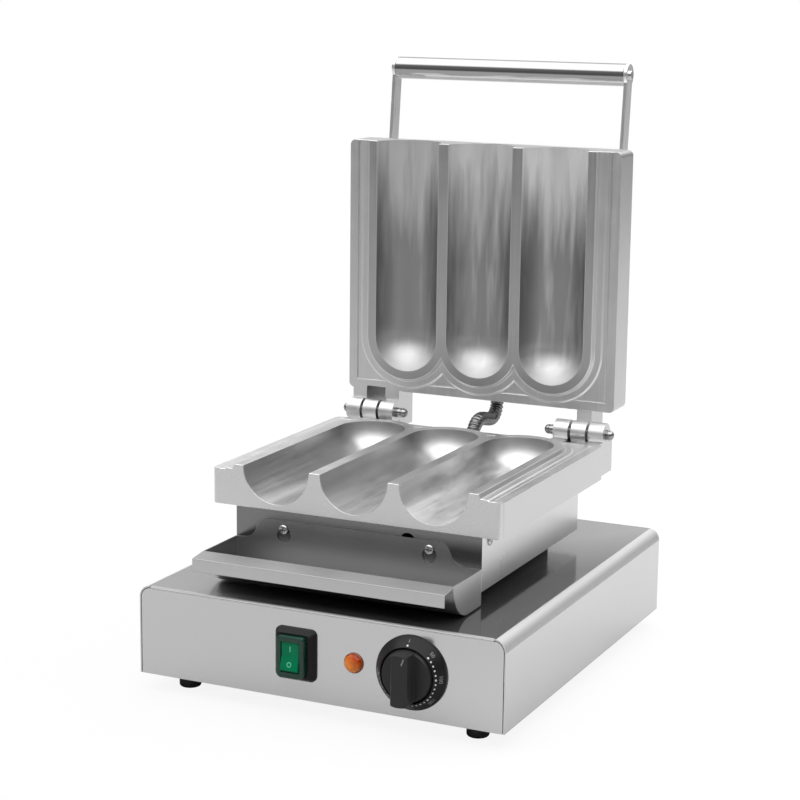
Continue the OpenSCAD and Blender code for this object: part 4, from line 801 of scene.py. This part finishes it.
# screws with a crossed recess, their heads' sizes given as shares of the radius or height, apart from lip
screwHead = {"steps": 32, "rim": 0.3, "crown": (72, 54), "flatR": 0.6, "flatH": 0.92, "hubR": 0.16,
             "crossFacing": 0.5, "crossH": 0.9, "crossHub": 0.15, "crossSpread": 0.42, "recess": 0.35,
             "lip": 0.03}
sideScrew = {"headR": 3.6, "headH": 1.8, "shankR": 2.0, "shankL": 10}
boxSides = ((-109.7, towardsLeft), (109.7, towardsRight))
lowerScrews = dict(sideScrew, name="lowerBoxScrews", node="lower_housing_screws", body="base",
                   places=[((x, y, 138.0), turn) for x, turn in boxSides for y in (-94.8, 88.8)])
upperScrews = dict(sideScrew, name="upperBoxScrews", node="upper_housing_screws", body="lid",
                   places=[((x, 172.4, z), turn) for x, turn in boxSides for z in (405.2, 221.6)])
trayScrews = {"name": "trayScrews", "node": "tray_screws", "body": "base", "headR": 4.0, "headH": 2.0,
              "shankR": 2.0, "shankL": 9.5, "nutR": 3.8, "nutH": 3.0, "nutAt": 5.8,
              "places": [((x, -111.1, 129.4), towardsFront) for x in (-65, 65)]}


def screwShape(look, head, place, turn):
    r, h = look["headR"], look["headH"]
    shank, length, rim = look["shankR"], look["shankL"], head["rim"]
    profile = [(0, -length), (shank, -length), (shank, 0), (r, 0), (r, h * rim)]
    for angle in head["crown"]:
        a = math.radians(angle)
        profile.append((r * math.sin(a), h * (rim + (1 - rim) * math.cos(a))))
    profile += [(r * head["flatR"], h * head["flatH"]), (r * head["hubR"], h), (0, h)]
    shape = revolved(profile, head["steps"])

    def inCross(face):
        x, y, z = face.calc_center_median() / mm
        if face.normal.z <= head["crossFacing"]:
            return False
        spoke = z > h * head["crossH"] and abs(math.sin(2 * math.atan2(y, x))) < head["crossSpread"]
        return spoke or math.hypot(x, y) < r * head["crossHub"]

    # the cross recess takes the second finish, near black as painted shade
    cross = [face for face in shape.faces if inCross(face)]
    for face in cross:
        face.material_index = 1
    grown = bmesh.ops.inset_region(shape, faces=cross, thickness=head["lip"] * mm,
                                   depth=-h * head["recess"] * mm)
    for face in grown["faces"]:
        face.material_index = 1
    if "nutR" in look:
        nutR, nutH = look["nutR"], look["nutH"]
        nut = revolved([(shank, 0), (nutR, 0), (nutR, nutH), (shank, nutH), (shank, 0)], 6,
                       (0, 0, -look["nutAt"]))
        shape = joined([shape, nut])
    shape.transform(moved(*place) @ turn)
    return shape


for look in (lowerScrews, upperScrews, trayScrews):
    shape = joined([screwShape(look, screwHead, place, turn) for place, turn in look["places"]])
    finishPiece(shape, look["name"], ("zinc", "recessShade"), look["body"], (look["node"],))
print("stage: screws")

# rocker with its two signs
rocker = {"edge": 0.6, "edgeAngle": 30, "edgeSteps": 3, "place": (-16.7, -183.5, 51.4), "front": 6.8,
          "tilt": 8, "signUp": 5.6, "signDown": -6.7, "signW": 0.9, "signL": 4.6, "ringR": 2.1,
          "ringW": 0.75, "ringSteps": 36, "signOut": 0.06}


def makeRocker(look):
    shape = takeShape("switch_rocker")
    soften(shape, look["edge"], look["edgeAngle"], look["edgeSteps"])
    finishPiece(shape, "switchRocker", ("greenPlastic",), "rocker", ("switch_rocker",))
    out, r, tilt = look["signOut"], look["ringR"], math.radians(look["tilt"])
    inner = r - look["ringW"]
    line = block(look["signW"], look["signL"], 2 * out)
    ring = revolved([(inner, -out), (r, -out), (r, out), (inner, out), (inner, -out)], look["ringSteps"])
    turn = Matrix.Rotation(-tilt, 4, "X")
    for shape, up in ((line, look["signUp"]), (ring, look["signDown"])):
        slope = tilt if up > 0 else -tilt
        place = moved(0, -look["front"] - abs(up) * math.tan(tilt), up)
        shape.transform(moved(*look["place"]) @ turn @ place @ Matrix.Rotation(slope, 4, "X") @ towardsFront)
    finishPiece(joined([line, ring]), "rockerSigns", ("printMint",), "rocker")


makeRocker(rocker)

# thermostat dial with its raised face and printed marks
dial = {
    "x": 83,
    "y": -179.5,
    "z": 51.4,
    "steps": 96,
    "sharp": 25,
    "holeR": 8,
    "edgeR": 29.7,
    "edgeT": 2.4,
    "round": 0.8,
    "edgeDrop": 0.107,
    "faceR": 22.3,
    "faceT": 10.2,
    "ridge": 0.4,
    "ridgeDrop": 0.05,
    "faceEase": 0.3,
    "wellR": 21.9,
    "wellT": 0.9,
    "markR": 23.9,
    "dots": 26,
    "dotR": 0.72,
    "bigDot": 1.15,
    "dotSteps": 20,
    "dotLow": -0.1,
    "dotHigh": 0.05,
    "firstDot": 46,
    "lastDot": 266,
    "dotsPerNumber": 5,
    "numbers": ("50", "100", "150", "200", "250", "300"),
    "tick": "I",
    "textR": 26.6,
    "textSize": 4.4,
    "textDepth": 0.05,
    "textLift": 0.03,
}


def coneEnds(look):
    # the cone's height at its inner and outer edge, and how far it runs between them
    high, low = look["faceT"] - look["ridgeDrop"], look["edgeT"] - look["edgeDrop"]
    return high, low, look["edgeR"] - look["round"] - look["faceR"]


def makeDial(look):
    edge, ease, well = look["edgeR"], look["round"], look["wellT"]
    profile = [(look["holeR"], 0), (edge, 0), (edge, look["edgeT"] - ease)]
    profile += arc((edge - ease, look["edgeT"] - ease), ease, 0, 60, 3)
    profile += [(look["faceR"] + look["ridge"], look["faceT"] - look["ridgeDrop"]),
                (look["faceR"], look["faceT"]),
                (look["faceR"] - look["faceEase"], look["faceT"] - look["faceEase"]),
                (look["wellR"], well), (look["holeR"], well), (look["holeR"], 0)]
    shape = revolved(profile, look["steps"], (look["x"], look["y"], look["z"]), towardsFront)
    finishPiece(shape, "dialPlate", ("dialPlastic",), "base", ("dial_plate",),
                sharp=look["sharp"])


def onDial(look, r, angle, lift):
    # places a mark on the cone, its angle clockwise from the top
    high, low, run = coneEnds(look)
    share = min(max((r - look["faceR"] - look["ridge"]) / run, 0), 1)
    out = high + (low - high) * share + lift
    a = math.radians(angle)
    place = moved(look["x"] + r * math.sin(a), look["y"] - out, look["z"] + r * math.cos(a))
    slope = Matrix.Rotation(-math.atan((high - low) / run), 4, "X")
    return place @ Matrix.Rotation(a, 4, "Y") @ slope @ towardsFront


def numberShape(look, words):
    data = bpy.data.curves.new("dialNumber", "FONT")
    data.body = words
    data.size = look["textSize"] * mm
    data.align_x = "CENTER"
    data.align_y = "CENTER"
    data.extrude = look["textDepth"] * mm
    holder = bpy.data.objects.new("dialNumber", data)
    number = bpy.data.meshes.new_from_object(holder)
    shape = bmesh.new()
    shape.from_mesh(number)
    bpy.data.objects.remove(holder)
    bpy.data.curves.remove(data)
    bpy.data.meshes.remove(number)
    return shape


def makeMarks(look):
    step = (look["lastDot"] - look["firstDot"]) / (look["dots"] - 1)
    angles = [0] + [look["firstDot"] + step * i for i in range(look["dots"])]
    numbered = [0] + list(range(1, len(angles), look["dotsPerNumber"]))
    low, high = look["dotLow"], look["dotHigh"]
    dots = []
    for i, angle in enumerate(angles):
        r = look["dotR"] * (look["bigDot"] if i in numbered else 1)
        dot = revolved([(0, low), (r, low), (r, high), (0, high)], look["dotSteps"])
        dot.transform(onDial(look, look["markR"], angle, 0))
        dots.append(dot)
    finishPiece(joined(dots), "dialDots", ("printWhite",), "base")
    numbers = []
    for i, words in zip(numbered, (look["tick"],) + look["numbers"]):
        number = numberShape(look, words)
        number.transform(onDial(look, look["textR"], angles[i], look["textLift"]))
        numbers.append(number)
    finishPiece(joined(numbers), "dialNumbers", ("printGrey",), "base")


makeDial(dial)
makeMarks(dial)

# pointer line on the knob's grip
pointer = {"from": (2.6, 13.4), "to": (4.6, 18.6), "front": 25.8, "width": 1.0, "out": 0.03}


def makePointer(look):
    (x0, z0), (x1, z1) = look["from"], look["to"]
    shape = block(look["width"], math.hypot(x1 - x0, z1 - z0), 2 * look["out"])
    place = moved(dial["x"] + (x0 + x1) / 2, dial["y"] - look["front"], dial["z"] + (z0 + z1) / 2)
    shape.transform(place @ Matrix.Rotation(math.atan2(x1 - x0, z1 - z0), 4, "Y") @ towardsFront)
    finishPiece(shape, "knobPointer", ("printGrey",), "knob")


makePointer(pointer)

# pilot lamp, with a plain flange and a faceted cap
pilot = {"place": (33.5, -179.5, 51.4), "flangeR": 8.2, "flangeT": 1.5, "flangeRim": 0.9, "flangeEase": 0.4,
         "flangeSteps": 64, "stemR": 5, "stemL": 9, "facets": 10, "overlap": 0.3, "sharp": 8,
         "cap": ((7.5, 1.5), (7.2, 2.6), (6.0, 4.3), (3.2, 5.6), (0, 6.0))}


def makeLens(look):
    r, t, stem, length = look["flangeR"], look["flangeT"], look["stemR"], look["stemL"]
    profile = [(0, -length), (stem, -length), (stem, 0), (r, 0), (r, look["flangeRim"]),
               (r - look["flangeEase"], t), (look["cap"][0][0] - look["overlap"], t), (0, t)]
    flange = revolved(profile, look["flangeSteps"], look["place"], towardsFront)
    for face in flange.faces:
        face.material_index = 1
    cap = revolved(look["cap"], look["facets"], look["place"], towardsFront)
    finishPiece(joined([flange, cap]), "pilotLens", ("orangeLens", "amberEdge"), "base",
                ("pilot_lens",), sharp=look["sharp"])


makeLens(pilot)
print("stage: controls")

# light, floor and backdrop
towardsViewer = (0.42, -0.9, 0)
studio = {
    "lamps": [
        {"name": "keyLamp", "place": (-1.6, -1.9, 2.4), "aim": (0, 0, 0.2), "size": 1.6, "power": 14},
        {"name": "topLamp", "place": (0.1, 0.3, 2.6), "aim": (0, 0, 0.1), "size": 2.0, "power": 12},
    ],
    "floorSize": 6.0,
    "floorNear": 0.36,
    "floorBack": 0.50,
    "floorBackWay": (0.75, 0.65, 0),
    "floorBackSpan": (-0.35, 0.35),
    "floorDark": 0.16,
    "floorDarkSpan": (0.75, 1.7),
    "floorGlow": 1.04,
    "floorSeen": 0.86,
    "frontSky": [(0.0, 0.20), (0.5, 0.20), (0.6, 0.26), (0.72, 0.34), (0.80, 2.0), (0.88, 3.2), (1.0, 3.3)],
    "backSky": [(0.0, 0.70), (0.5, 0.66), (0.6, 0.63), (0.68, 0.85), (0.78, 2.0), (0.88, 3.2), (1.0, 3.3)],
    "frontSpan": (0.0, 0.35),
    "leftShare": 0.62,
    "rightShare": 1.35,
    "rightSpan": (-0.75, -0.15),
    "farRightShare": 0.3,
    "farRightSpan": (0.1, 0.42),
    "wallSpan": (0.3, 0.6),
}


def makeLamp(look):
    data = bpy.data.lights.new(look["name"], "AREA")
    data.shape = "SQUARE"
    data.size = look["size"]
    data.energy = look["power"]
    lamp = bpy.data.objects.new(look["name"], data)
    bpy.context.scene.collection.objects.link(lamp)
    lamp.location = look["place"]
    lamp.rotation_mode = "QUATERNION"
    lamp.rotation_quaternion = (Vector(look["aim"]) - Vector(look["place"])).to_track_quat("-Z", "Y")
    lamp.visible_glossy = False


def makeFloor(look):
    shape = bmesh.new()
    bmesh.ops.create_grid(shape, x_segments=2, y_segments=2, size=look["floorSize"] / 2)
    mesh = bpy.data.meshes.new("studioFloor")
    shape.to_mesh(mesh)
    shape.free()
    floor = bpy.data.objects.new("studioFloor", mesh)
    bpy.context.scene.collection.objects.link(floor)
    material = bpy.data.materials.new("floorPaper")
    material.use_nodes = True
    graph = NodeGraph(material.node_tree)
    place = graph.add("ShaderNodeTexCoord").outputs["Object"]
    # painted light: the paper's colour is brightest at the back right and darkens far towards the viewer,
    # where the room is dark
    near = graph.ranged(graph.dot(place, look["floorBackWay"]), look["floorNear"], look["floorBack"],
                        *look["floorBackSpan"], "SMOOTHSTEP")
    dark = graph.ranged(graph.dot(place, towardsViewer), 1, look["floorDark"] / look["floorNear"],
                        *look["floorDarkSpan"], "SMOOTHSTEP")
    paper = graph.add("ShaderNodeBsdfDiffuse")
    graph.feed(paper.inputs["Color"], graph.maths("MULTIPLY", near, dark))
    glow = graph.add("ShaderNodeEmission")
    graph.feed(glow.inputs["Color"], (1, 1, 1, 1))
    graph.feed(glow.inputs["Strength"], look["floorGlow"])
    ray = graph.add("ShaderNodeLightPath").outputs["Is Camera Ray"]
    seen = graph.maths("MULTIPLY", ray, look["floorSeen"])
    out = graph.add("ShaderNodeOutputMaterial")
    graph.feed(out.inputs["Surface"], graph.mixedShaders(seen, paper.outputs[0], glow.outputs[0]))
    mesh.materials.append(material)


def makeWorld(look):
    world = bpy.data.worlds.new("studioWorld")
    bpy.context.scene.world = world
    world.use_nodes = True
    graph = NodeGraph(world.node_tree)
    place = graph.add("ShaderNodeTexCoord").outputs["Generated"]
    right, up = graph.axis(place, "X"), graph.axis(place, "Z")
    height = graph.ranged(up, 0, 1, -1, 1)

    def sky(stops):
        node = graph.add("ShaderNodeFloatCurve")
        node.mapping.use_clip = False
        points = node.mapping.curves[0].points
        points[0].location = stops[0]
        points[1].location = stops[-1]
        for at, value in stops[1:-1]:
            points.new(at, value)
        for point in points:
            point.handle_type = "AUTO_CLAMPED"
        node.mapping.update()
        graph.feed(node.inputs["Value"], height)
        return node.outputs["Value"]

    # the back wall is darker on the left and on the far right
    share = graph.ranged(right, look["leftShare"], look["rightShare"], *look["rightSpan"])
    farShare = graph.ranged(right, 1, look["farRightShare"], *look["farRightSpan"])
    level = graph.mixedNumbers(graph.ranged(up, 0, 1, *look["wallSpan"]),
                               graph.maths("MULTIPLY", share, farShare), 1)
    wall = graph.maths("MULTIPLY", level, sky(look["backSky"]))
    side = graph.ranged(graph.dot(place, towardsViewer), 0, 1, *look["frontSpan"], "SMOOTHSTEP")
    light = graph.add("ShaderNodeBackground")
    graph.feed(light.inputs["Strength"], graph.mixedNumbers(side, wall, sky(look["frontSky"])))
    seen = graph.add("ShaderNodeBackground")
    graph.feed(seen.inputs["Color"], (1, 1, 1, 1))
    ray = graph.add("ShaderNodeLightPath").outputs["Is Camera Ray"]
    out = graph.add("ShaderNodeOutputWorld")
    graph.feed(out.inputs["Surface"], graph.mixedShaders(ray, light.outputs[0], seen.outputs[0]))


for look in studio["lamps"]:
    makeLamp(look)
makeFloor(studio)
makeWorld(studio)
bpy.context.scene.view_settings.view_transform = "Standard"
print("stage: studio")
